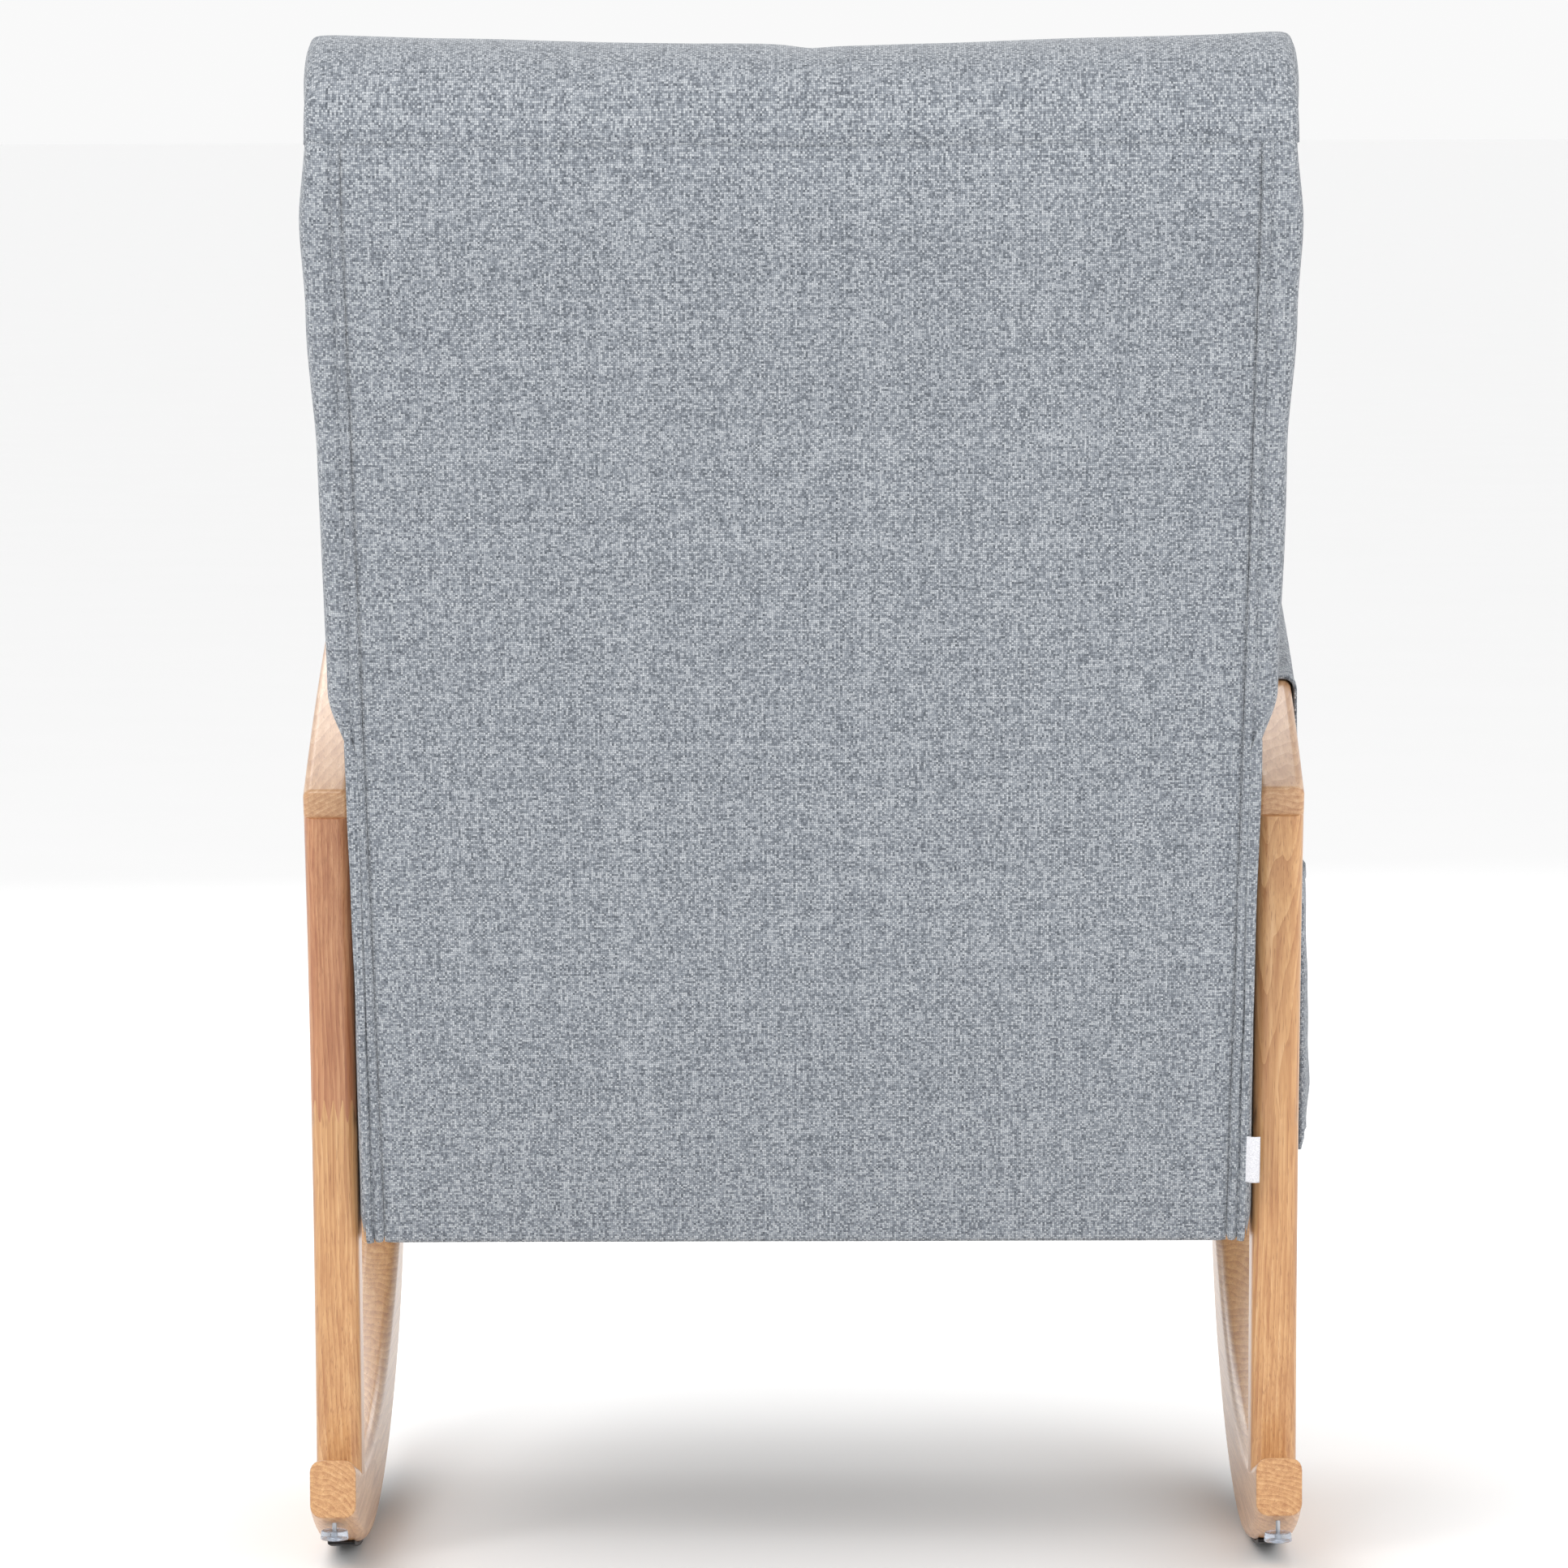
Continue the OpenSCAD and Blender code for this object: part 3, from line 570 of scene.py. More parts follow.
@dataclass(frozen=True)
class WovenCloth:
    """A plain weave of mixed yarns, laid by the piece's UV map in metres."""

    name: str
    dark: tuple[float, float, float]
    mid: tuple[float, float, float]
    pale: tuple[float, float, float]
    pitch: float = 0.00137
    # strength of the painted shade in the hollows between the yarns
    hollow_shade: float = 0.5
    depth: float = 0.0005
    sheen: float = 0.25

    def make(self) -> bpy.types.Material:
        """Build the material: every crossing of the yarns has its own tone, and painted shade darkens
        the hollows between them.
        """
        w = Recipe(self.name)
        flat = w.node("ShaderNodeUVMap", uv_map="weave").outputs[0]
        wander = w.noise(flat, 190, 2)
        bent = w.vector("ADD", flat, w.vector("MULTIPLY", w.drift(wander), (0.0012, 0.0012, 0)))
        cells = w.vector("MULTIPLY", bent, (1 / self.pitch, 1 / self.pitch, 0))
        parts = w.node("ShaderNodeSeparateXYZ")
        w.feed(parts.inputs[0], cells)
        across, along = parts.outputs[0], parts.outputs[1]
        column, row = w.math("FLOOR", across), w.math("FLOOR", along)
        swell_a = w.math("SINE", w.math("MULTIPLY", w.math("FRACT", across), math.pi))
        swell_b = w.math("SINE", w.math("MULTIPLY", w.math("FRACT", along), math.pi))
        over = w.math("FLOORED_MODULO", w.math("ADD", column, row), 2.0)
        warp = w.math("MULTIPLY", swell_a, w.math("MULTIPLY_ADD", swell_b, 0.4, 0.6))
        weft = w.math("MULTIPLY", swell_b, w.math("MULTIPLY_ADD", swell_a, 0.4, 0.6))
        height = w.math("ADD", w.math("MULTIPLY", over, warp),
                        w.math("MULTIPLY", w.math("SUBTRACT", 1.0, over), weft))
        lot = w.node("ShaderNodeTexWhiteNoise", noise_dimensions="2D")
        w.feed(lot.inputs["Vector"], w.vector("FLOOR", cells))
        ends = w.node("ShaderNodeTexWhiteNoise", noise_dimensions="1D")
        w.feed(ends.inputs["W"], column)
        picks = w.node("ShaderNodeTexWhiteNoise", noise_dimensions="1D")
        w.feed(picks.inputs["W"], w.math("ADD", row, 0.37))
        yarn = w.math("ADD", w.math("MULTIPLY", over, ends.outputs["Value"]),
                      w.math("MULTIPLY", w.math("SUBTRACT", 1.0, over), picks.outputs["Value"]))
        mottle = w.noise(flat, 760, 3, 0.7)
        shade = w.math("ADD", w.math("MULTIPLY", lot.outputs["Value"], 0.50),
                       w.math("ADD", w.math("MULTIPLY", yarn, 0.16), w.math("MULTIPLY", mottle, 0.56)))
        tone = w.ramp(shade, [(0.24, self.dark), (0.56, self.mid), (0.90, self.pale)])
        # painted shade: darker where the weave's height is low, in the hollows between the yarns
        tone = w.blend("MULTIPLY", w.math("MULTIPLY", w.math("SUBTRACT", 1.0, height), self.hollow_shade),
                       tone, self.dark)
        cloud = w.noise(flat, 14, 2)
        tone = w.blend("MULTIPLY", w.math("MULTIPLY", cloud, 0.16), tone, linear(214, 216, 222))
        w.relief(height, self.depth, 0.8)
        return w.surface(tone, 0.92, Sheen_Weight=self.sheen, Sheen_Roughness=0.5,
                         Specular_IOR_Level=0.25)


@dataclass(frozen=True)
class PlainStuff:
    """A mottled, slightly grained stuff with no weave: rubber, felt, metal or plastic."""

    name: str
    dark: tuple[float, float, float]
    pale: tuple[float, float, float]
    rough: float
    scale: float = 400.0
    stretch: tuple[float, float, float] = (1.0, 1.0, 1.0)
    depth: float = 0.0001
    metal: float = 0.0
    clear: float = 0.0

    def make(self) -> bpy.types.Material:
        """Build the material."""
        w = Recipe(self.name)
        spot = w.node("ShaderNodeTexCoord").outputs["Object"]
        fleck = w.noise(w.place(spot, (0, 0, 0), (0, 0, 0), self.stretch), self.scale, 4, 0.6)
        tone = w.ramp(fleck, [(0.3, self.dark), (0.7, self.pale)])
        w.relief(fleck, self.depth, 0.6)
        return w.surface(tone, self.rough, Metallic=self.metal, Transmission_Weight=self.clear,
                         IOR=1.49 if self.clear else 1.5)


CLOTH_TONES = dict(dark=linear(84, 90, 98), mid=linear(150, 156, 164), pale=linear(206, 210, 214))
REDDISH = dict(dark=linear(158, 98, 64), mid=linear(192, 138, 98), pale=linear(212, 164, 122))
SANDY = dict(dark=linear(176, 130, 92), mid=linear(204, 164, 124), pale=linear(222, 190, 156))


class Finishes:
    """Makes each finish once, and dresses pieces in it."""

    def __init__(self) -> None:
        """List the finishes by name, with the record's slot for each."""
        woods = {
            "post_left": LacqueredWood("lacquered post, left", Grain.POST, (0.30, 0.05, 0.0)),
            "post_right": LacqueredWood("lacquered post, right", Grain.POST, (-0.27, 0.04, 0.1)),
            "post_left_top": LacqueredWood("lacquered post top, left", Grain.POST, (0.28, -0.03, 0.2),
                                           **REDDISH),
            "post_right_top": LacqueredWood("lacquered post top, right", Grain.POST, (0.33, 0.02, 0.3)),
            "rocker_left": LacqueredWood("lacquered rocker, left", Grain.ALONG, (-0.34, 0.03, 0.0)),
            "rocker_right": LacqueredWood("lacquered rocker, right", Grain.ALONG, (0.30, 0.02, 0.2)),
            "leg": LacqueredWood("lacquered leg", Grain.UP, (0.31, 0.42, 0.4)),
            "arm": LacqueredWood("lacquered arm", Grain.ARM, (0.32, -0.62, 0.1), **SANDY),
            "rail": LacqueredWood("plain rail", Grain.ACROSS, (0.05, 0.1, 0.0), gloss=0.6, **SANDY),
            "block": LacqueredWood("plain block", Grain.UP, (0.05, 0.1, 0.0), gloss=0.6),
        }
        stuffs = {
            "upholstery": (WovenCloth("grey upholstery cloth", **CLOTH_TONES), "upholstery"),
            "tag": (WovenCloth("blank tag cloth", linear(214, 214, 218), linear(236, 236, 240),
                               linear(250, 250, 252), pitch=0.0005, depth=0.0001), "tag_cloth"),
            "webbing": (WovenCloth("jute webbing", linear(130, 106, 72), linear(172, 148, 108),
                                   linear(204, 182, 142), pitch=0.0022), "webbing"),
            "dust_cloth": (WovenCloth("black dust cloth", linear(16, 16, 18), linear(26, 26, 28),
                                      linear(40, 40, 42), pitch=0.001, sheen=0.05), "dust_cloth"),
            "felt": (PlainStuff("pressed felt", linear(186, 182, 170), linear(224, 220, 208), 0.95,
                                260, depth=0.0006), "deck_felt"),
            "rubber": (PlainStuff("black rubber", linear(14, 14, 15), linear(34, 34, 36), 0.55, 900,
                                  depth=0.00015), "tread_rubber"),
            "clear": (PlainStuff("clear plastic", linear(206, 216, 232), linear(228, 236, 246), 0.08,
                                 60, depth=0.00002, clear=0.82), "clear_plastic"),
            "steel": (PlainStuff("zinc plated steel", linear(150, 152, 156), linear(196, 198, 202), 0.32,
                                 500, (1, 1, 0.1), 0.00003, 1.0), "steel"),
            "brass": (PlainStuff("turned brass", linear(176, 140, 70), linear(214, 178, 100), 0.3,
                                 500, (1, 1, 0.1), 0.00003, 1.0), "brass"),
        }
        self.table = {key: (wood, "inner_wood" if key in ("rail", "block") else "frame_wood")
                      for key, wood in woods.items()}
        self.table.update(stuffs)
        self.made: dict[str, bpy.types.Material] = {}

    def dress(self, piece: bpy.types.Object, key: str) -> bpy.types.Object:
        """Give a piece one finish.

        Args:
            piece: the piece.
            key: the finish.

        Returns:
            The same piece.
        """
        finish, slot = self.table[key]
        if key not in self.made:
            self.made[key] = finish.make()
        piece.data.materials.clear()
        piece.data.materials.append(self.made[key])
        return piece


# ---------------------------------------------------------------- side frames


@dataclass
class SideFrame:
    """One side: rocker, leg, two-part post and arm, with its strip and foot. Angles in degrees."""

    side: Side
    finishes: Finishes
    half_w: float = 0.3335
    member_t: float = 0.031
    tail_y: float = 0.222
    rocker_r: float = 0.780
    rocker_rear_r: float = 0.560
    rocker_top_r: float = 0.895
    rocker_top_rear_r: float = 0.700
    rocker_mid_h: float = 0.0646
    rocker_mid_y: float = 0.041
    bend_from: float = 25.5
    bend_out_r: float = 0.272
    bend_in_r: float = 0.170
    bend_in_from: float = 25.8
    leg_lean: float = 6.0
    post_r: float = 1.650
    post_d: float = 0.045
    post_z: float = 0.104
    post_y: float = 0.154
    post_lean: float = 3.5
    arm_rear_z: float = 0.548
    arm_slope: float = 21.8
    arm_r: float = 2.200
    arm_t: float = 0.025
    post_joint_z: float = 0.312
    leg_joint_z: float = 0.376
    finger_l: float = 0.015
    fingers: int = 5
    tread_t: float = 0.003
    tread_w: float = 0.019
    tread_rear: float = 13.5
    tread_front: float = 22.5
    glide_r: float = 0.0095
    edge_r: float = 0.008
    arm_edge_r: float = 0.006
    eased: float = 0.0012

    @property
    def x_low(self) -> float:
        """Lowest X of the side frame."""
        return self.half_w - self.member_t if self.side is Side.LEFT else -self.half_w

    @property
    def x_mid(self) -> float:
        """X of the side frame's middle."""
        return self.side * (self.half_w - self.member_t / 2)

    def running(self, angle: float, up: float) -> Vector:
        """A point of the running edge, or of a line inside it.

        Args:
            angle: angle from the ground contact, positive to the rear.
            up: how far inside the edge.

        Returns:
            The point, as (y, z).
        """
        radius = self.rocker_rear_r if angle > 0 else self.rocker_r
        return Vector(((radius - up) * sin(angle), radius - (radius - up) * cos(angle)))

    def arm_mid(self) -> Vector:
        """Centre of the arm's curve."""
        return Vector((self.tail_y - self.arm_r * sin(self.arm_slope),
                       self.arm_rear_z - self.arm_r * cos(self.arm_slope)))

    def arm_angle(self, y: float) -> float:
        """Angle round the arm's curve at a place."""
        return math.degrees(math.asin((y - self.arm_mid().x) / self.arm_r))

    def arm_point(self, y: float, up: float = 0.0) -> Vector:
        """A point at or above the arm's upper edge, as (y, z)."""
        a = self.arm_angle(y)
        return self.arm_mid() + (self.arm_r + up) * Vector((sin(a), cos(a)))

    def post_mid(self) -> Vector:
        """Centre of the post's curve."""
        return Vector((self.post_y + self.post_r * cos(self.post_lean),
                       self.post_z - self.post_r * sin(self.post_lean)))

    def post_angle(self, z: float) -> float:
        """Lean of the post's rear face at a height."""
        return math.degrees(math.asin((z - self.post_mid().y) / self.post_r))

    def rocker_outline(self) -> list[Vector]:
        """Rocker, sweep and leg as one outline, well up into the arm."""
        tail_low = math.degrees(math.asin(self.tail_y / (self.rocker_rear_r - self.tread_t)))
        tail_top = math.degrees(math.asin((self.tail_y - self.rocker_mid_y) / self.rocker_top_rear_r))
        reach = self.rocker_r - self.tread_t - self.bend_out_r
        out_mid = Vector((0, self.rocker_r)) - reach * Vector((sin(self.bend_from), cos(self.bend_from)))
        top_mid = Vector((self.rocker_mid_y, self.rocker_mid_h + self.rocker_top_r))
        rear_mid = Vector((self.rocker_mid_y, self.rocker_mid_h + self.rocker_top_rear_r))
        reach = self.rocker_top_r - self.bend_in_r
        in_mid = top_mid - reach * Vector((sin(self.bend_in_from), cos(self.bend_in_from)))
        leg = 90 + self.leg_lean
        points = [self.running(between(tail_low, 0, i / 12), self.tread_t) for i in range(12)]
        points += [self.running(-self.bend_from * i / 16, self.tread_t) for i in range(16)]
        points += arc(out_mid, self.bend_out_r, -self.bend_from, -leg, -1, 18)
        up = Vector((sin(self.leg_lean), cos(self.leg_lean)))
        foot_in = in_mid + self.bend_in_r * Vector((-sin(leg), -cos(leg)))
        for foot in (points[-1], foot_in):
            points.append(foot + up * (self.arm_rear_z + 0.16 - foot.y) / up.y)
        points += arc(in_mid, self.bend_in_r, -leg, -self.bend_in_from, -1, 16)
        points += arc(top_mid, self.rocker_top_r, -self.bend_in_from, 0, -1, 16)[1:]
        points += arc(rear_mid, self.rocker_top_rear_r, 0, tail_top, -1, 8)[1:]
        return points

    def side_edges(self, bm: bmesh.types.BMesh, skip: Callable[[Vector], bool]) -> list:
        """The long edges round both side faces, apart from those that skip names."""
        return [e for e in bm.edges
                if abs(e.verts[0].co.x - e.verts[1].co.x) < 1e-6
                and len({round(f.normal.x, 3) for f in e.link_faces}) == 2
                and not skip((e.verts[0].co + e.verts[1].co) / 2)]

    def end_faces(self, bm: bmesh.types.BMesh, direction: Vector) -> list:
        """The faces that look along a direction."""
        return [f for f in bm.faces if f.normal.dot(direction) > 0.995]

    def comb(self, height: float) -> bpy.types.Object:
        """A block above a row of fingers across the member, used to part the two pieces."""
        pitch = self.member_t / self.fingers
        margin, reach, depth = 0.004, 0.42, 1.4
        tooth = ((0.06, 0.0), (0.44, 1.0), (0.56, 1.0), (0.94, 0.0))
        line = [(self.x_low - margin, height)]
        line += [(self.x_low + (i + share) * pitch, height + self.finger_l * up)
                 for i in range(self.fingers) for share, up in tooth]
        far = self.x_low + self.member_t + margin
        line += [(far, height), (far, height + reach), (self.x_low - margin, height + reach)]
        bm = bmesh.new()
        cap = bm.faces.new([bm.verts.new((x, -depth / 2, z)) for x, z in line])
        grown = bmesh.ops.extrude_face_region(bm, geom=[cap])["geom"]
        bmesh.ops.translate(bm, verts=[v for v in grown if isinstance(v, bmesh.types.BMVert)],
                            vec=(0, depth, 0))
        bmesh.ops.recalc_face_normals(bm, faces=bm.faces[:])
        return finish_mesh(bm, "comb")

    def part_at(self, bm: bmesh.types.BMesh, height: float, low: str, high: str) -> list:
        """Part a rounded member at its finger joint.

        Args:
            bm: the member.
            height: where the fingers start.
            low: the lower piece's node.
            high: the upper piece's node.

        Returns:
            The lower and the upper piece.
        """
        comb = self.comb(height)
        lower = finish_mesh(bm, f"{self.side.word}_{low}_wood")
        upper = lower.copy()
        upper.data = lower.data.copy()
        upper.name = f"{self.side.word}_{high}_wood"
        bpy.context.scene.collection.objects.link(upper)
        pieces = [carve(lower, comb, "DIFFERENCE"), carve(upper, comb, "INTERSECT")]
        bpy.data.objects.remove(comb)
        return pieces

    def keep(self, piece: bpy.types.Object, finish: str, node: str) -> None:
        """Dress a wooden piece, let it ride and stand for its node.

        Args:
            piece: the piece.
            finish: its finish.
            node: the node it stands for.
        """
        for face in piece.data.polygons:
            face.use_smooth = True
        piece.data.set_sharp_from_angle(angle=math.radians(40))
        even_shading(piece)
        self.finishes.dress(piece, finish)
        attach(piece, CHAIR)
        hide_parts(node)
        LOG.info("%s: %d faces", piece.name, len(piece.data.polygons))

    def rocker_and_leg(self) -> None:
        """Build the rocker with its leg, rounded and parted at the finger joint."""
        bm = prism(self.rocker_outline(), self.x_low, self.member_t)
        tail = self.tail_y - 1e-4
        above = self.arm_rear_z + 0.15
        round_over(bm, self.side_edges(bm, lambda p: p.y > tail or p.z > above), self.edge_r)
        round_over(bm, rim_of(self.end_faces(bm, Vector((0, 1, 0)))), self.eased, 2)
        leg_y = -0.45
        under = self.arm_point(leg_y, -self.arm_t + 0.004)
        a = self.arm_angle(leg_y)
        trim(bm, Vector((0, under.x, under.y)), Vector((0, sin(a), cos(a))))
        lower, upper = self.part_at(bm, self.leg_joint_z, "rocker", "front_leg")
        self.keep(lower, f"rocker_{self.side.word}", f"{self.side.word}_rocker")
        self.keep(upper, "leg", f"{self.side.word}_front_leg")

    def post(self) -> None:
        """Build the curved rear post, let into rocker and arm, and parted at its finger joint."""
        mid = self.post_mid()
        low, high = self.post_angle(self.rocker_mid_h - 0.03), self.post_angle(self.arm_rear_z + 0.02)
        leans = [between(low, high, i / 20) for i in range(21)]
        line = [mid + self.post_r * Vector((-cos(a), sin(a))) for a in leans]
        line += [mid + (self.post_r + self.post_d) * Vector((-cos(a), sin(a))) for a in reversed(leans)]
        bm = prism(line, self.x_low, self.member_t)
        ends = (min(p.y for p in line) + 0.004, max(p.y for p in line) - 0.004)
        round_over(bm, self.side_edges(bm, lambda p: not ends[0] < p.z < ends[1]), self.edge_r)
        top = self.arm_point(self.tail_y - 0.01, -self.arm_t + 0.005)
        slope = self.arm_angle(top.x)
        trim(bm, Vector((0, top.x, top.y)), Vector((0, sin(slope), cos(slope))))
        foot_y = self.post_y - self.post_d / 2
        turn = math.degrees(math.asin((foot_y - self.rocker_mid_y) / self.rocker_top_rear_r))
        foot_z = self.rocker_mid_h + self.rocker_top_rear_r * (1 - cos(turn)) - 0.0065
        trim(bm, Vector((0, foot_y, foot_z)), Vector((0, sin(turn), -cos(turn))))
        lower, upper = self.part_at(bm, self.post_joint_z, "rear_post_lower", "rear_post_upper")
        self.keep(lower, f"post_{self.side.word}", f"{self.side.word}_rear_post_lower")
        self.keep(upper, f"post_{self.side.word}_top", f"{self.side.word}_rear_post_upper")

    def arm(self) -> None:
        """Build the curved arm with soft edges and rounded ends."""
        node = f"{self.side.word}_armrest"
        low, high = box_of(node)
        start, end = self.arm_angle(high.y), self.arm_angle(low.y)
        mid = self.arm_mid()
        line = arc(mid, self.arm_r, start, end, 1, 30)
        line += arc(mid, self.arm_r - self.arm_t, end, start, 1, 30)
        bm = prism(line, self.x_low, self.member_t)
        tips = [Vector((0, cos(a), -sin(a))) * s for a, s in ((start, 1), (end, -1))]
        at_end = [(line[0] + line[-1]) / 2, (line[30] + line[31]) / 2]
        skip = self.arm_t / 2 - 1e-3
        round_over(bm, self.side_edges(bm, lambda p: any((Vector((p.y, p.z)) - q).length < skip
                                                         for q in at_end)), self.arm_edge_r)
        for tip in tips:
            round_over(bm, rim_of(self.end_faces(bm, tip)), 0.004, 4)
        self.keep(finish_mesh(bm, node + "_wood"), "arm", node)

    def tread(self) -> None:
        """Build the rubber strip glued along the running edge."""
        node = f"{self.side.word}_tread"
        span = [between(self.tread_rear, 0, i / 10) for i in range(10)]
        span += [between(0, -self.tread_front, i / 16) for i in range(17)]
        line = [self.running(a, 0.0) for a in span]
        line += [self.running(a, self.tread_t) for a in reversed(span)]
        bm = prism(line, self.x_mid - self.tread_w / 2, self.tread_w)
        round_over(bm, self.side_edges(bm, lambda p: False), 0.0009, 2)
        piece = finish_mesh(bm, node + "_strip")
        even_shading(piece)
        self.finishes.dress(piece, "rubber")
        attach(piece, CHAIR)
        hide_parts(node)
        LOG.info("%s", piece.name)

    def glide(self) -> None:
        """Build the clear foot under the tail."""
        node = f"{self.side.word}_glide"
        low, high = box_of(node)
        bm = bmesh.new()
        bmesh.ops.create_cone(bm, cap_ends=True, segments=48, radius1=self.glide_r,
                              radius2=self.glide_r * 0.94, depth=high.z - low.z)
        bmesh.ops.translate(bm, verts=bm.verts[:], vec=((low.x + high.x) / 2, (low.y + high.y) / 2,
                                                        (low.z + high.z) / 2))
        caps = [f for f in bm.faces if abs(f.normal.z) > 0.9]
        round_over(bm, rim_of(caps), 0.0011, 3)
        low_cap = min((f for f in bm.faces if f.normal.z < -0.9), key=lambda f: f.calc_center_median().z)
        bmesh.ops.inset_individual(bm, faces=[low_cap], thickness=self.glide_r * 0.5, depth=0.0)
        bmesh.ops.translate(bm, verts=list(low_cap.verts), vec=(0, 0, 0.0018))
        piece = finish_mesh(bm, node + "_foot")
        even_shading(piece)
        self.finishes.dress(piece, "clear")
        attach(piece, CHAIR)
        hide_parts(node)
        LOG.info("%s", piece.name)

    def build(self) -> None:
        """Build the whole side."""
        self.rocker_and_leg()
        self.post()
        self.arm()
        self.tread()
        self.glide()


# ---------------------------------------------------------------- soft goods helpers


def plump(piece: bpy.types.Object, pressure: float, cap: float, rests: Callable[[Vector], bool],
          voxel: float = 0.0072) -> bpy.types.Object:
    """Swell a closed shape as stuffing swells its cover.

    Args:
        piece: a closed shape a little smaller than the cushion.
        pressure: how hard the stuffing pushes.
        cap: the most that any point moves.
        rests: True for points that rest on the frame and stay where they are.
        voxel: the size of the even mesh it gets first.

    Returns:
        The same piece, with its final mesh.
    """
    even = piece.modifiers.new("even mesh", "REMESH")
    even.mode = "VOXEL"
    even.voxel_size = voxel
    even.use_smooth_shade = True
    settle(piece)
    start = [v.co.copy() for v in piece.data.vertices]
    held = piece.vertex_groups.new(name="rests")
    held.add([i for i, co in enumerate(start) if rests(co)], 1.0, "REPLACE")
    cloth = piece.modifiers.new("stuffing", "CLOTH")
    cloth.settings.use_pressure = True
    cloth.settings.uniform_pressure_force = pressure
    cloth.settings.effector_weights.gravity = 0.0
    cloth.settings.quality = 5
    cloth.settings.mass = 0.3
    cloth.settings.tension_stiffness = 18
    cloth.settings.compression_stiffness = 18
    cloth.settings.bending_stiffness = 0.6
    cloth.settings.vertex_group_mass = "rests"
    scene = bpy.context.scene
    for step in range(1, 21):
        scene.frame_set(step)
    settle(piece)
    scene.frame_set(1)
    for vert, was in zip(piece.data.vertices, start):
        move = vert.co - was
        if move.length > cap:
            vert.co = was + move * (cap / move.length)
    relax = piece.modifiers.new("soften", "SMOOTH")
    relax.factor = 0.5
    relax.iterations = 6
    fine = piece.modifiers.new("fine mesh", "SUBSURF")
    fine.levels = fine.render_levels = 1
    settle(piece)
    piece.vertex_groups.clear()
    return piece


def sew(piece: bpy.types.Object, line: Callable[[Vector], float], near: Callable[[Vector], bool],
        depth: float, width: float) -> None:
    """Press a seam into a soft piece: a groove with a small puckered lip on each side.

    Args:
        piece: the soft piece, with its final mesh.
        line: signed distance of a point from the seam's plane.
        near: True for points that the seam may move.
        depth: depth of the groove.
        width: its half width.
    """
    normals = [v.normal.copy() for v in piece.data.vertices]
    for vert, normal in zip(piece.data.vertices, normals):
        if not near(vert.co):
            continue
        d = abs(line(vert.co))
        if d > 5 * width:
            continue
        pucker = 0.65 + 0.7 * noise.noise(vert.co * 110)
        groove = -depth * math.exp(-(d / width) ** 2) * pucker
        lip = 0.3 * depth * math.exp(-((d - 2.4 * width) / width) ** 2)
        vert.co += normal * (groove + lip)


def fill_out(values: Sequence[float], low: float, high: float) -> Callable[[float], float]:
    """A stretch that takes the span of some values to a wanted span.

    Args:
        values: the values.
        low: where the lowest goes.
        high: where the highest goes.

    Returns:
        The stretch.
    """
    was_low, was_high = min(values), max(values)
    scale = (high - low) / (was_high - was_low)
    return lambda value: low + (value - was_low) * scale


def ruffle(piece: bpy.types.Object, size: float, scale: float, seed: float) -> None:
    """Give a soft piece the slight unevenness of real stuffing.

    Args:
        piece: the soft piece.
        size: the most it moves a point.
        scale: how fine the unevenness is.
        seed: which unevenness.
    """
    normals = [v.normal.copy() for v in piece.data.vertices]
    for vert, normal in zip(piece.data.vertices, normals):
        where = vert.co * scale + Vector((seed, seed, seed))
        vert.co += normal * size * noise.noise(where)


@dataclass
class BackPlane:
    """The reclined plane of the back: depth t runs forward from its rear face, l up its slope."""

    foot: Vector = field(default_factory=lambda: Vector((0, 0.1694, 0.228)))
    recline: float = 17.9

    def at(self, x: float, t: float, length: float) -> Vector:
        """A point given in the back's own directions.

        Args:
            x: across.
            t: forward from the rear face.
            length: up the slope.

        Returns:
            The point.
        """
        return Vector((x, self.foot.y - t * cos(self.recline) + length * sin(self.recline),
                       self.foot.z + t * sin(self.recline) + length * cos(self.recline)))

    def back_to(self, p: Vector) -> tuple[float, float, float]:
        """The back's own (x, t, l) of a point."""
        dy, dz = p.y - self.foot.y, p.z - self.foot.z
        return (p.x, -dy * cos(self.recline) + dz * sin(self.recline),
                dy * sin(self.recline) + dz * cos(self.recline))


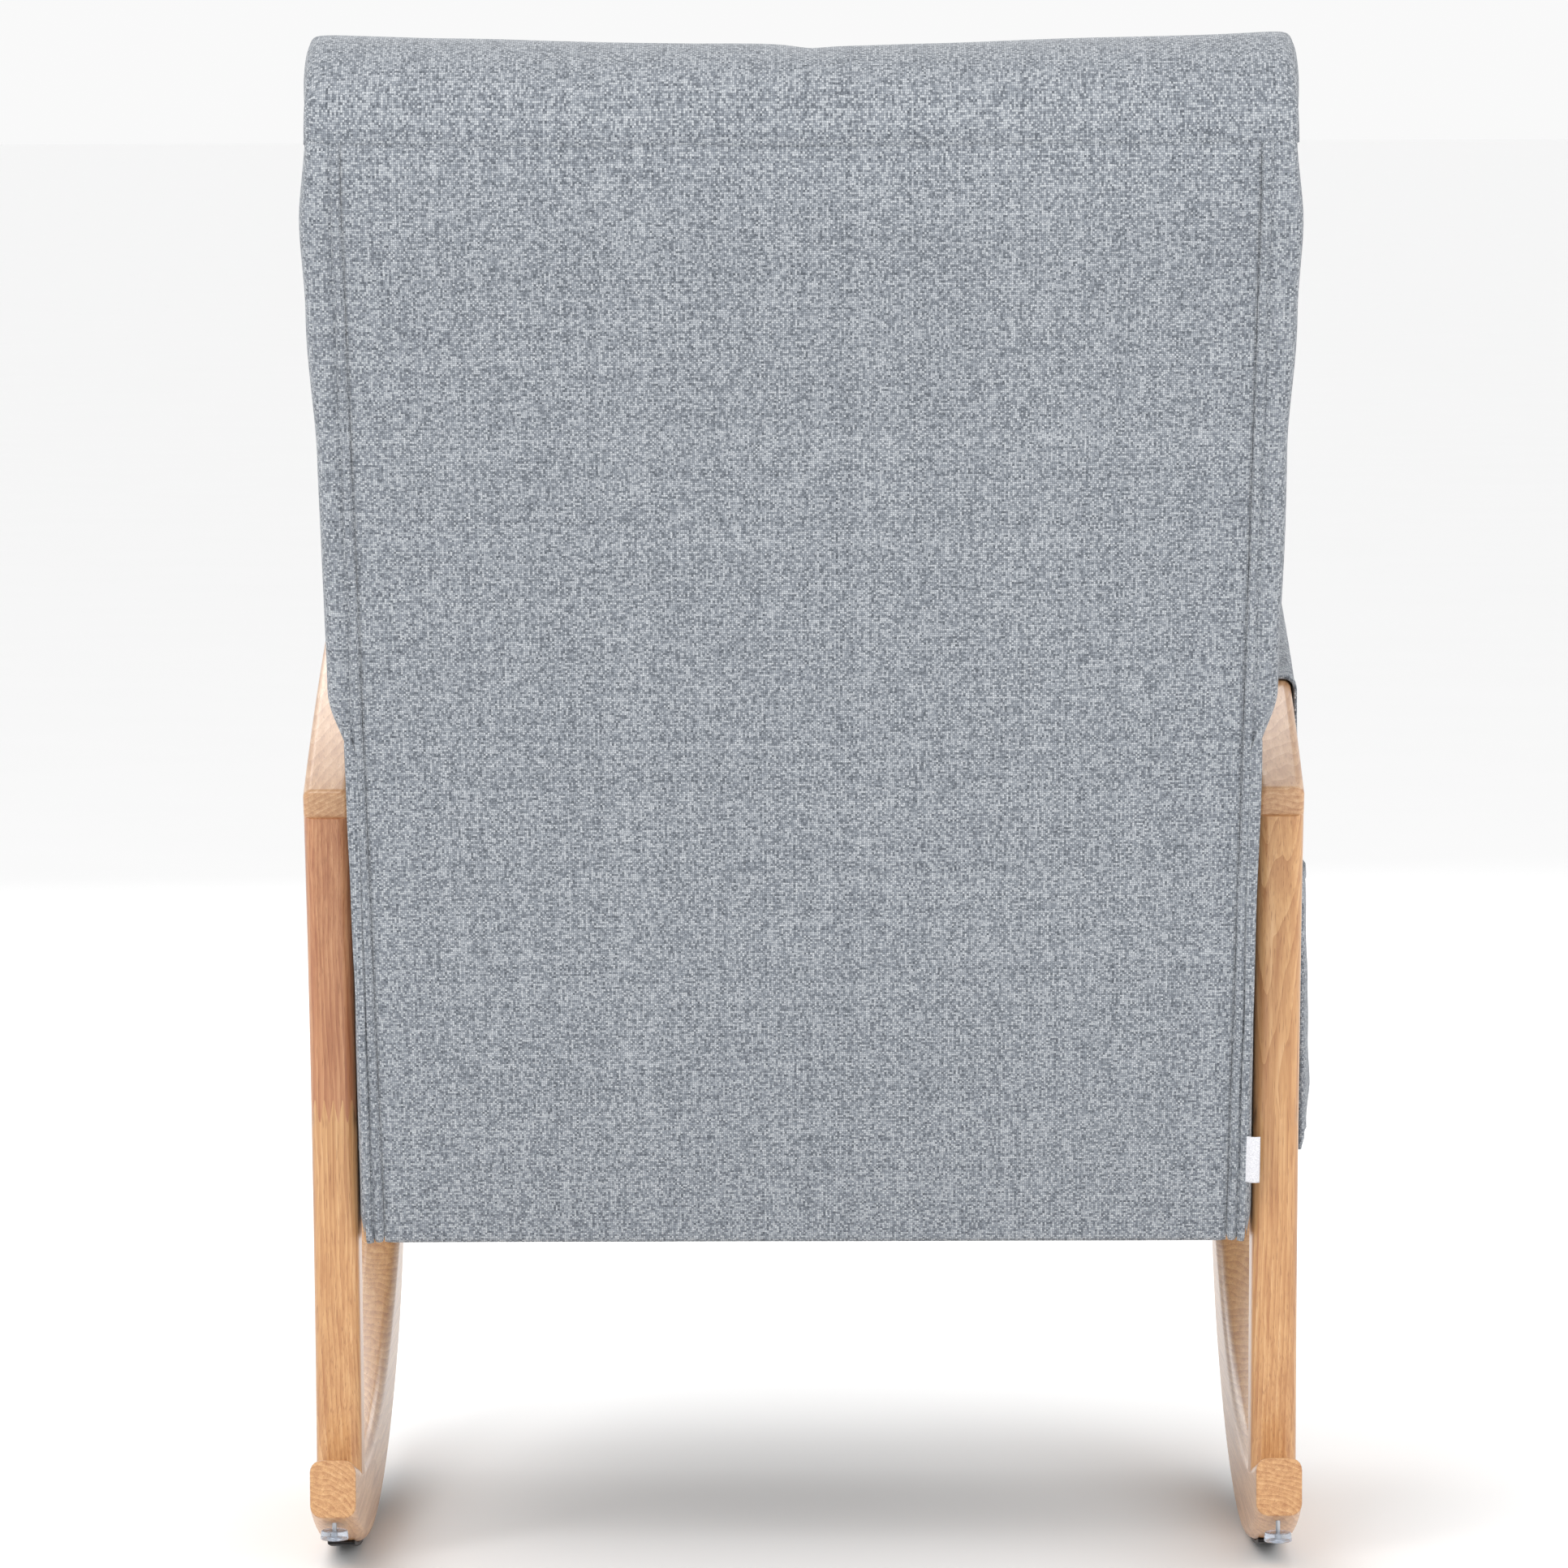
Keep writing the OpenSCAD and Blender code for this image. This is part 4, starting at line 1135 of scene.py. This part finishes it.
@dataclass
class Backrest:
    """The high back: rear panel, side bands, front cushion, pillow headrest and tag."""

    finishes: Finishes
    plane: BackPlane = field(default_factory=BackPlane)
    pad_half: float = 0.301
    half_top: float = 0.316
    seam_low: float = 0.285
    seam_top: float = 0.296
    frame_len: float = 0.721
    flare_from: float = 0.349
    flare_to: float = 0.399
    front_t: float = 0.0527
    roll_r: float = 0.078
    roll_t: float = 0.088
    roll_l: float = 0.744
    seam_up: float = 24.0
    seam_down: float = 0.619
    head_half: float = 0.328
    low_t: float = 0.176
    high_t: float = 0.166
    over_r: float = 0.129
    over_run: float = 0.061

    def seam_x(self, length: float) -> float:
        """Half width of the rear panel, up the slope.

        Args:
            length: place up the slope.

        Returns:
            The half width.
        """
        return between(self.seam_low, self.seam_top, length / self.frame_len)

    def side_x(self, length: float) -> float:
        """Half width of the back, up the slope.

        Args:
            length: place up the slope.

        Returns:
            The half width.
        """
        return follow([(0.0, self.pad_half - 0.002), (0.02, self.pad_half),
                       (self.flare_from, self.pad_half), (self.flare_to, 0.3135),
                       (0.56, 0.3160), (0.66, 0.3210), (0.72, 0.3235), (0.78, 0.3190)], length)

    def rear_line(self, run: float, out: float = 0.0) -> tuple[float, float]:
        """Depth and place of the rear cloth, a run up from its lower edge.

        Args:
            run: distance along the cloth.
            out: how far behind the cloth.

        Returns:
            Depth t and place l.
        """
        touch = self.frame_len - 0.003
        if run < touch:
            return -out, run
        angle = math.degrees((run - touch) / self.over_r)
        return (self.over_r - (self.over_r + out) * cos(angle), touch + (self.over_r + out) * sin(angle))

    @property
    def panel_run(self) -> float:
        """Length of the rear panel along its cloth, up to the seam on the roll."""
        return self.frame_len - 0.003 + self.over_run

    def pucker(self, run: float, side: float) -> float:
        """The small gathers that stitching leaves along a seam."""
        return 0.5 * math.sin(run * 740 + 9 * noise.noise(Vector((run * 16, side, 0)))) \
            + 0.9 * noise.noise(Vector((run * 60, side * 3, 4)))

    def rear_panel(self) -> None:
        """Build the flat rear panel, drawn in along its seams."""
        columns, rows = 150, 260
        lip = 0.0014

        def place(u: float, v: float) -> Vector:
            spread = math.copysign(abs(2 * u - 1) ** 0.8, 2 * u - 1)
            run = self.panel_run * v
            half = self.seam_x(run) - 0.0004
            x = half * spread
            edge = half - abs(x)
            end = min(run, self.panel_run - run)
            dip = lip * math.exp(-(edge / 0.0022) ** 2) + lip * math.exp(-(end / 0.0024) ** 2)
            gather = 0.0004 * self.pucker(run, math.copysign(1, x)) * math.exp(-(edge / 0.008) ** 2)
            top = 0.0006 * self.pucker(x, 5.0) * math.exp(-((self.panel_run - run) / 0.010) ** 2)
            swell = 0.0016 * smooth(edge / 0.11) * smooth(end / 0.11)
            wave = 0.0006 * noise.noise(Vector((x * 7, run * 6, 1.0))) * smooth(edge / 0.03)
            t, l = self.rear_line(run, swell + wave + gather + top - dip)
            return self.plane.at(x, t, l)

        panel = formed_grid("rear_panel_cloth", columns, rows, place)
        self.finish_sheet(panel, 0.0012)
        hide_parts("back_rear_panel")

    def finish_sheet(self, sheet: bpy.types.Object, thick: float) -> None:
        """Give a sheet its thickness, cloth and body.

        Args:
            sheet: the sheet.
            thick: its thickness.
        """
        thicken(sheet, thick, REAR)
        lay_weave(sheet, self.plane.recline)
        self.finishes.dress(sheet, "upholstery")
        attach(sheet, CHAIR)
        LOG.info("%s: %d faces", sheet.name, len(sheet.data.polygons))

    def side_band(self, side: Side) -> None:
        """Build the padded band from the rear seam round the side of the back.

        Args:
            side: which side.
        """
        profile = [(-0.0016, 0.0020), (-0.0002, 0.0018), (0.0010, -0.0002), (0.0034, -0.0016),
                   (0.0052, -0.0009), (0.0068, 0.0008), (0.0084, -0.0001), (0.0112, -0.0009)]
        run_end = self.panel_run
        columns, rows = 44, 260

        def place(u: float, v: float) -> Vector:
            run = run_end * v
            seam = self.seam_x(run)
            half = self.side_x(run)
            gather = self.pucker(run, side * 2.0)
            deep = self.front_t - 0.001
            ring = profile + [(half - seam - 0.0060, -0.0004), (half - seam - 0.0022, 0.0022),
                              (half - seam - 0.0004, 0.0068), (half - seam + 0.0003, 0.0130),
                              (half - seam + 0.0005, deep * 0.5), (half - seam + 0.0001, deep - 0.006),
                              (half - seam - 0.0024, deep - 0.0005), (half - seam - 0.0080, deep)]
            place_at = u * (len(ring) - 1)
            i = min(int(place_at), len(ring) - 2)
            f = place_at - i
            before, after = ring[max(i - 1, 0)], ring[min(i + 2, len(ring) - 1)]
            out = [catmull(before[k], ring[i][k], ring[i + 1][k], after[k], f) for k in (0, 1)]
            ridge = math.exp(-((out[0] - 0.0034) / 0.004) ** 2)
            end = smooth(min(run, run_end - run) / 0.006)
            deeper = out[1] - 0.0004 * gather * ridge + 0.003 * (1 - end)
            t0, l0 = self.rear_line(run)
            back_in = smooth(1 - out[1] / self.front_t)
            ruck = 0.0007 * noise.noise(Vector((run * 14, out[1] * 60, side)))
            return self.plane.at(side * (seam + out[0] + ruck), t0 * back_in + deeper, l0)

        band = formed_grid(f"back_{side.word}_side_band", columns, rows, place)
        self.finish_sheet(band, 0.0014)
        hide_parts(f"back_{side.word}_boxing")

    def cushion_outline(self) -> list[Vector]:
        """Side view of the front cushion before it swells, as (y, z)."""
        t0 = self.front_t + 0.001
        inset = 0.009
        low = self.crease(t0) + inset
        points = [(t0, low), (self.low_t - inset, self.crease(self.low_t) + inset),
                  (self.low_t - inset, self.seam_down * 0.55),
                  (self.high_t - inset, self.seam_down - inset), (t0, self.seam_down - inset)]
        return [Vector(self.plane.at(0, t, l).yz) for t, l in points]

    def crease(self, t: float) -> float:
        """Place up the slope where the seat cushion's top meets the back, at a depth."""
        top = Seat.top_point(0.002)
        _, t_top, l_top = self.plane.back_to(top)
        return l_top - (t - t_top) * math.tan(math.radians(self.plane.recline - Seat.tilt))

    def cushion(self) -> None:
        """Build the front cushion."""
        inset = 0.010
        bm = prism(self.cushion_outline(), -self.pad_half + inset, 2 * (self.pad_half - inset))
        piece = finish_mesh(bm, "back_cushion_cloth")
        plump(piece, 4.0, 0.022, lambda p: self.plane.back_to(p)[1] < self.front_t + 0.004)
        for vert in piece.data.vertices:
            x, t, l = self.plane.back_to(vert.co)
            wide = follow([(self.flare_from - 0.02, self.pad_half - 0.0004),
                           (self.flare_to, self.half_top)], l)
            if abs(x) > self.pad_half - 0.03:
                grow = wide - self.pad_half
                x += math.copysign(grow * smooth((abs(x) - self.pad_half + 0.05) / 0.04), x)
            x = math.copysign(min(abs(x), wide), x)
            vert.co = self.plane.at(x, max(t, self.front_t + 0.0006), max(l, self.crease(t) + 0.0006))
        piece.data.update()
        ruffle(piece, 0.0012, 16, 3.0)
        front = self.low_t - 0.028
        sew(piece, lambda p: self.plane.back_to(p)[1] - front, lambda p: abs(p.x) > self.pad_half - 0.04,
            0.0026, 0.0032)
        lay_weave(piece, self.plane.recline)
        self.finishes.dress(piece, "upholstery")
        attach(piece, CHAIR)
        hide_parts("back_cushion")
        LOG.info("%s: %d faces", piece.name, len(piece.data.polygons))

    def headrest(self) -> None:
        """Build the pillow that rolls over the top of the back."""
        inset = 0.011
        radius = self.roll_r - inset
        ring = [(self.front_t + 0.004, self.seam_down + inset),
                (self.front_t + 0.004, self.frame_len + 0.004),
                (self.roll_t - radius, self.frame_len + 0.012)]
        ring += [(self.roll_t - radius * cos(11.25 * i), self.roll_l + radius * sin(11.25 * i))
                 for i in range(17)]
        ring += [(self.high_t + 0.002 - inset, self.seam_down + inset)]
        outline = [Vector(self.plane.at(0, t, l).yz) for t, l in ring]
        bm = prism(outline, -self.head_half + inset + 0.004, 2 * (self.head_half - inset - 0.004))
        piece = finish_mesh(bm, "headrest_pillow")
        plump(piece, 4.0, 0.015, lambda p: self.plane.back_to(p)[1] < self.front_t + 0.006
              and self.plane.back_to(p)[2] < self.frame_len + 0.006)
        spots = [self.plane.back_to(v.co) for v in piece.data.vertices]
        wide = fill_out([s[0] for s in spots], -self.head_half, self.head_half)
        tall = fill_out([s[2] for s in spots], self.seam_down + 0.001, self.roll_l + self.roll_r + 0.003)
        deep = fill_out([s[1] for s in spots], self.roll_t - self.roll_r, self.high_t + 0.004)
        for vert, spot in zip(piece.data.vertices, spots):
            x, t, l = wide(spot[0]), deep(spot[1]), tall(spot[2])
            angle = math.degrees(math.atan2(l - self.roll_l, self.roll_t - t))
            below = 1 - smooth((angle - self.seam_up + 6.0) / 6.0)
            if t < self.front_t + 0.02 and below > 0:
                share = below * smooth((self.front_t + 0.02 - t) / 0.02)
                t += 0.006 * share
                x *= 1 - 0.03 * share
            vert.co = self.plane.at(x, t, l)
        piece.data.update()
        ruffle(piece, 0.0016, 13, 8.0)
        lay_weave(piece, self.plane.recline)
        self.finishes.dress(piece, "upholstery")
        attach(piece, CHAIR)
        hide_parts("headrest_cushion")
        LOG.info("%s: %d faces", piece.name, len(piece.data.polygons))

    def tag(self) -> None:
        """Build the small blank tag caught in the outer seam."""
        low, high = box_of("side_tag")
        x0, x1 = low.x, high.x

        def place(u: float, v: float) -> Vector:
            length = between(0.045, 0.079, v)
            curl = 0.0012 * math.sin(math.pi * u) + 0.0010 * u * math.sin(3 * v)
            return self.plane.at(between(x1, x0, u), -0.0016 - curl, length - 0.0006 * u)

        tag = formed_grid("blank_side_tag", 10, 24, place)
        self.finish_sheet(tag, 0.0005)
        self.finishes.dress(tag, "tag")
        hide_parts("side_tag")

    def build(self) -> None:
        """Build the whole back."""
        self.rear_panel()
        for side in Side:
            self.side_band(side)
        self.cushion()
        self.headrest()
        self.tag()


def catmull(before: float, a: float, b: float, after: float, f: float) -> float:
    """A value a share of the way from a to b on a smooth curve through four.

    Args:
        before: the value before a.
        a: the value at 0.
        b: the value at 1.
        after: the value after b.
        f: how far along.

    Returns:
        The value.
    """
    return 0.5 * (2 * a + (b - before) * f + (2 * before - 5 * a + 4 * b - after) * f * f
                  + (3 * a - before - 3 * b + after) * f ** 3)


@dataclass
class Seat:
    """The seat box in its cloth border, with its loose cushion."""

    finishes: Finishes
    pad_half: float = 0.301
    rail_h: float = 0.072
    deck_top: float = 0.1075
    pad_low: float = 0.1078
    pad_h: float = 0.066
    tilt: float = 6.0

    @staticmethod
    def foot() -> Vector:
        """Rear lower edge of the seat box."""
        low, high = box_of("left_seat_rail")
        return Vector((0, high.y - Seat.rail_h * sin(Seat.tilt), low.z))

    @staticmethod
    def at(x: float, y: float, z: float) -> Vector:
        """A point given along and above the seat's own lower edge.

        Args:
            x: across.
            y: along, to the rear.
            z: above.

        Returns:
            The point.
        """
        foot = Seat.foot()
        return Vector((x, foot.y + y * cos(Seat.tilt) + z * sin(Seat.tilt),
                       foot.z - y * sin(Seat.tilt) + z * cos(Seat.tilt)))

    @staticmethod
    def top_point(gap: float) -> Vector:
        """The rear upper edge of the seat cushion, a gap above it."""
        return Seat.at(0, 0, 0.1738 + gap)

    @staticmethod
    def own(p: Vector) -> tuple[float, float, float]:
        """A point in the seat's own directions."""
        foot = Seat.foot()
        dy, dz = p.y - foot.y, p.z - foot.z
        return (p.x, dy * cos(Seat.tilt) - dz * sin(Seat.tilt),
                dy * sin(Seat.tilt) + dz * cos(Seat.tilt))

    def length(self) -> float:
        """Depth of the seat box."""
        low, high = box_of("left_seat_rail")
        return (high.y - low.y - self.rail_h * sin(self.tilt)) / cos(self.tilt)

    def cushion(self) -> None:
        """Build the seat cushion, with a seam round its front and sides."""
        inset = 0.010
        nose = self.pad_h / 2 - inset
        mid = Vector((-self.length() - 0.002 + self.pad_h / 2, self.pad_low + self.pad_h / 2))
        ring = [(-0.006 - inset, self.pad_low + 0.003),
                (-0.006 - inset, self.pad_low + self.pad_h - inset)]
        ring += [(mid.x - nose * sin(22.5 * i), mid.y + nose * cos(22.5 * i)) for i in range(8)]
        ring += [(mid.x, self.pad_low + 0.003)]
        outline = [Vector(self.at(0, y, z).yz) for y, z in ring]
        piece = finish_mesh(prism(outline, -self.pad_half + inset, 2 * (self.pad_half - inset)),
                            "seat_cushion_cloth")
        plump(piece, 4.0, 0.024, lambda p: self.own(p)[2] < self.pad_low + 0.006
              and abs(p.x) < self.pad_half - 0.04 and self.own(p)[1] > 0.04 - self.length())
        front = -self.length() - 0.0028
        for vert in piece.data.vertices:
            x, y, z = self.own(vert.co)
            x = math.copysign(min(abs(x), self.pad_half), x)
            vert.co = self.at(x, min(max(y, front), -0.004), max(z, self.pad_low + 0.0003))
        piece.data.update()
        ruffle(piece, 0.0012, 15, 5.0)
        seam = self.pad_low + self.pad_h * 0.72
        sew(piece, lambda p: self.own(p)[2] - seam,
            lambda p: abs(p.x) > self.pad_half - 0.035 or self.own(p)[1] < front + 0.03, 0.0030, 0.0032)
        lay_weave(piece, self.tilt)
        self.finishes.dress(piece, "upholstery")
        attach(piece, CHAIR)
        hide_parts("seat_cushion")
        LOG.info("%s: %d faces", piece.name, len(piece.data.polygons))

    def border(self) -> None:
        """Build the cloth that is pulled round the front and sides of the seat box."""
        rear, front = -0.001, -self.length() - 0.0028
        half, corner = self.pad_half, 0.012
        reach = rear - front - corner
        bend = corner * math.pi / 2
        total = 2 * reach + 2 * bend + 2 * (half - corner)

        def walk(s: float) -> tuple[float, float]:
            """Where the border's path is after a run s from its left rear end."""
            if s > total / 2:
                x, y = walk(total - s)
                return -x, y
            if s < reach:
                return half, rear - s
            if s < reach + bend:
                a = (s - reach) / corner
                return half - corner * (1 - math.cos(a)), rear - reach - corner * math.sin(a)
            return half - corner - (s - reach - bend), front

        def place(u: float, v: float) -> Vector:
            x, y = walk(total * u)
            z = self.deck_top * v
            run = total * u
            puff = 0.0012 * math.sin(math.pi * v) + 0.0008 * noise.noise(Vector((run * 9, v * 2, 7)))
            tuck = 0.003 * math.exp(-(v / 0.03) ** 2) + 0.0004 * math.exp(-((1 - v) / 0.03) ** 2)
            stitch = 0.0009 * math.exp(-((v - 0.10) / 0.012) ** 2)
            inwards = tuck + stitch - puff
            spot = Vector((x, y - (rear + front) / 2))
            away = Vector((0.0 if abs(x) < half - corner else math.copysign(1, x),
                           -1.0 if y < rear - reach else 0.0))
            away = away.normalized() if away.length > 0 else spot.normalized()
            return self.at(x - away.x * max(inwards, 0.0), y - away.y * inwards, z)

        sheet = formed_grid("seat_border_cloth", 420, 34, place)
        thicken(sheet, 0.0014, FRONT)
        lay_weave(sheet, self.tilt)
        self.finishes.dress(sheet, "upholstery")
        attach(sheet, CHAIR)
        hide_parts("seat_border")
        LOG.info("%s: %d faces", sheet.name, len(sheet.data.polygons))

    def dust_cover(self) -> None:
        """Build the black cloth stapled under the seat, sagging a little between the rails."""
        half = self.pad_half - 0.006
        back, front = -0.003, -self.length() + 0.003

        def place(u: float, v: float) -> Vector:
            sag = 0.0012 * math.sin(math.pi * u) * math.sin(math.pi * v)
            crinkle = 0.0003 * noise.noise(Vector((u * 14, v * 14, 2)))
            return self.at(between(-half, half, u), between(back, front, v), -0.0007 - sag + crinkle)

        sheet = formed_grid("dust_cover_cloth", 60, 60, place)
        thicken(sheet, 0.0004, DOWN)
        lay_weave(sheet, self.tilt)
        self.finishes.dress(sheet, "dust_cloth")
        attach(sheet, CHAIR)
        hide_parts("seat_dust_cover")
        LOG.info("%s", sheet.name)

    def build(self) -> None:
        """Build the whole seat."""
        self.cushion()
        self.border()
        self.dust_cover()


@dataclass
class SidePocket:
    """The cloth pocket laid over the right arm: a saddle with hems and a bellied pouch."""

    finishes: Finishes
    arm: SideFrame
    flap_drop: float = 0.055
    gap: float = 0.0009
    thick: float = 0.0022
    hem: float = 0.009

    def shape_hem(self, to_edge: float) -> float:
        """How far a stitched hem stands proud, a distance in from the edge.

        Args:
            to_edge: distance from the cloth's edge.

        Returns:
            The height of the hem.
        """
        stitch = -0.0007 * math.exp(-((to_edge - self.hem) / 0.0013) ** 2)
        return 0.0009 * (1 - smooth((to_edge - self.hem + 0.001) / 0.002)) + stitch

    def saddle(self) -> None:
        """Build the cloth over the arm: inner flap, top and outer side in one sheet."""
        low, high = box_of("pocket_saddle")
        inner_x = -(self.arm.half_w - self.arm.member_t) + self.gap
        outer_x = -self.arm.half_w - self.gap - self.thick
        bottom, rear, front = low.z, high.y, low.y
        corner = 0.009
        top_w = inner_x - outer_x - 2 * corner
        bend = corner * math.pi / 2

        def place(u: float, v: float) -> Vector:
            y = between(rear, front, u)
            top = self.arm.arm_point(y, self.gap + self.thick).y
            inner_len = self.flap_drop + self.arm.arm_t - corner
            outer_len = top - corner - bottom
            total = inner_len + top_w + 2 * bend + outer_len
            s = v * total
            edge = min((rear - front) * min(u, 1 - u), s + 0.004, total - s)
            proud = self.shape_hem(edge)
            slack = 0.0010 * noise.noise(Vector((y * 20, s * 16, 3)))
            if s < inner_len:
                fall = inner_len - s
                slant = 0.012 * smooth(fall / inner_len)
                return Vector((inner_x + 0.3 * proud, y - slant * (1 - 2 * u),
                               top - corner - fall))
            s -= inner_len
            if s < bend:
                a = s / corner
                return Vector((inner_x - corner * (1 - math.cos(a)), y,
                               top - corner * (1 - math.sin(a)) + proud))
            s -= bend
            if s < top_w:
                return Vector((inner_x - corner - s, y, top + proud))
            s -= top_w
            if s < bend:
                a = s / corner
                return Vector((outer_x + corner * (1 - math.sin(a)) - proud, y,
                               top - corner * (1 - math.cos(a)) + proud * math.cos(a)))
            s -= bend
            lean = 0.0012 * smooth(s / 0.10) + max(slack, -0.0004) * smooth(s / 0.08)
            return Vector((outer_x - proud - lean, y, top - corner - s))

        sheet = formed_grid("pocket_saddle_cloth", 84, 200, place)
        self.wrap(sheet)
        strip = rear - front
        sheet_area = sum(f.area for f in sheet.data.polygons) / 2
        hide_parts("pocket_saddle")
        LOG.info("%s: %.3f by %.3f m of cloth", sheet.name, strip, sheet_area / strip)

    def wrap(self, sheet: bpy.types.Object) -> None:
        """Give a sheet of the pocket its thickness and cloth, and let it ride."""
        thicken(sheet, self.thick, OUTER_RIGHT)
        lay_weave(sheet)
        self.finishes.dress(sheet, "upholstery")
        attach(sheet, POCKET)

    def pouch(self) -> None:
        """Build the bellied pouch, gathered at its foot, with a hemmed mouth."""
        low, high = box_of("pocket_pouch")
        seam_x = -self.arm.half_w - self.gap - self.thick - 0.0016
        reach = seam_x - low.x - 0.0004
        rear, front = high.y - 0.002, low.y + 0.002
        bottom, mouth = low.z + 0.001, high.z

        def place(u: float, v: float) -> Vector:
            wide = math.sin(math.pi * u)
            belly = wide ** 0.42
            tall = follow([(0.0, 0.0), (0.05, 0.62), (0.22, 1.0), (0.6, 0.86), (1.0, 0.62)], v)
            edge = min((rear - front) * min(u, 1 - u), (mouth - bottom) * (1 - v))
            gather = 0.0016 * math.sin(u * 78) * math.exp(-(v / 0.10) ** 2) * smooth(belly * 2)
            slack = 0.0018 * noise.noise(Vector((u * 5, v * 5, 9))) * belly
            out = reach * (0.10 + 0.84 * belly * tall) + gather + slack + self.shape_hem(edge)
            y = between(rear, front, u) + 0.0022 * (0.5 - u) * math.sin(math.pi * v)
            return Vector((seam_x - min(out, reach), y, between(bottom, mouth, v)))

        sheet = formed_grid("pocket_pouch_cloth", 96, 84, place)
        self.wrap(sheet)
        width = rear - front
        area = sum(f.area for f in sheet.data.polygons) / 2
        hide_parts("pocket_pouch")
        LOG.info("%s: %.3f by %.3f m of cloth", sheet.name, width, area / width)

    def build(self) -> None:
        """Build the whole pocket."""
        self.saddle()
        self.pouch()


@dataclass
class InnerWorks:
    """The hidden pieces, which keep their own meshes and get their finish."""

    finishes: Finishes
    wear: dict = field(default_factory=lambda: {
        "rail": ("left_seat_rail", "right_seat_rail", "seat_front_rail", "seat_rear_rail",
                 "back_bottom_rail", "back_mid_rail", "back_top_rail"),
        "block": ("seat_corner_blocks", "seat_wedges", "back_left_stile", "back_right_stile",
                  "frame_dowels"),
        "felt": ("seat_deck_pad", "back_deck_pad"),
        "steel": ("glide_pins", "wedge_screws", "seat_bolts", "back_bolts"),
        "brass": ("threaded_inserts",),
    })

    def webbing(self) -> None:
        """Lay the weave on both sets of webbing, from copies of their nodes."""
        for node in ("seat_webbing", "back_webbing"):
            piece = merged_copy(node, node + "_straps")
            lay_weave(piece, BackPlane().recline if node.startswith("back") else Seat.tilt)
            self.finishes.dress(piece, "webbing")
            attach(piece, CHAIR)
            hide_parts(node)
            LOG.info("%s", piece.name)

    def build(self) -> None:
        """Dress every hidden piece."""
        for finish, nodes in self.wear.items():
            for node in nodes:
                self.finishes.dress(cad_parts[node], finish)
                LOG.info("%s: %s", node, finish)
        self.webbing()


def merged_copy(node: str, name: str) -> bpy.types.Object:
    """A merged copy of a CAD node's mesh, with flat faces kept flat.

    Args:
        node: the node.
        name: the copy's name.

    Returns:
        The copy.
    """
    bm = bmesh.new()
    bm.from_mesh(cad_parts[node].data)
    bmesh.ops.remove_doubles(bm, verts=bm.verts[:], dist=1e-5)
    bmesh.ops.recalc_face_normals(bm, faces=bm.faces[:])
    piece = finish_mesh(bm, name)
    for face in piece.data.polygons:
        face.use_smooth = False
    return piece


# ---------------------------------------------------------------- room


@dataclass
class Studio:
    """A pale floor, soft light and the camera behind the chair. Angles in degrees."""

    lens: float = 189.8
    sensor: float = 36.0
    spot: tuple[float, float, float] = (-0.017, 5.722, 0.984)
    down: float = 4.58
    swing: float = 0.313
    roll: float = -0.2

    def camera(self) -> None:
        """Stand the camera behind the chair."""
        data = bpy.data.cameras.new("camera")
        data.lens = self.lens
        data.sensor_width = self.sensor
        data.clip_end = 900.0
        camera = bpy.data.objects.new("camera", data)
        bpy.context.scene.collection.objects.link(camera)
        aim = Vector((sin(self.swing) * cos(self.down), -cos(self.swing) * cos(self.down),
                      -sin(self.down)))
        turn = aim.to_track_quat("-Z", "Y").to_matrix()
        turn = turn @ Matrix.Rotation(math.radians(self.roll), 3, "Z")
        camera.matrix_world = Matrix.Translation(self.spot) @ turn.to_4x4()
        bpy.context.scene.camera = camera

    def lamp(self, name: str, spot: Sequence[float], size: float, power: float) -> None:
        """Hang a soft box that faces the chair.

        Args:
            name: its name.
            spot: where it hangs.
            size: its side.
            power: its power in watts.
        """
        data = bpy.data.lights.new(name, "AREA")
        data.energy = power
        data.size = size
        lamp = bpy.data.objects.new(name, data)
        bpy.context.scene.collection.objects.link(lamp)
        lamp.location = spot
        lamp.rotation_euler = (Vector((0, 0, 0.5)) - Vector(spot)).to_track_quat("-Z", "Y").to_euler()

    def floor(self) -> None:
        """Lay the pale floor."""
        bm = bmesh.new()
        bmesh.ops.create_grid(bm, x_segments=2, y_segments=2, size=400.0)
        floor = finish_mesh(bm, "floor")
        w = Recipe("pale floor")
        spot = w.node("ShaderNodeTexCoord").outputs["Object"]
        tone = w.ramp(w.noise(spot, 3, 2), [(0.0, (0.96, 0.96, 0.96)), (1.0, (0.98, 0.98, 0.98))])
        floor.data.materials.append(w.surface(tone, 0.9))

    def build(self) -> None:
        """Set up camera, floor and light."""
        self.camera()
        self.floor()
        world = bpy.data.worlds.new("studio")
        world.use_nodes = True
        shade = world.node_tree.nodes["Background"]
        shade.inputs[0].default_value = (1.0, 1.0, 1.0, 1.0)
        shade.inputs[1].default_value = 0.95
        bpy.context.scene.world = world
        self.lamp("key", (1.6, 3.4, 3.6), 2.4, 85)
        self.lamp("fill", (-3.2, 2.6, 1.8), 2.6, 30)
        self.lamp("front", (0.5, -3.6, 2.6), 2.6, 60)
        bpy.context.scene.view_settings.view_transform = "Standard"


def main() -> None:
    """Build the chair and its room."""
    logging.basicConfig(level=logging.INFO, format="%(message)s")
    finishes = Finishes()
    Studio().build()
    frames = {side: SideFrame(side, finishes) for side in Side}
    for built in frames.values():
        built.build()
    Backrest(finishes).build()
    Seat(finishes).build()
    SidePocket(finishes, frames[Side.RIGHT]).build()
    InnerWorks(finishes).build()


if __name__ == "__main__":
    main()
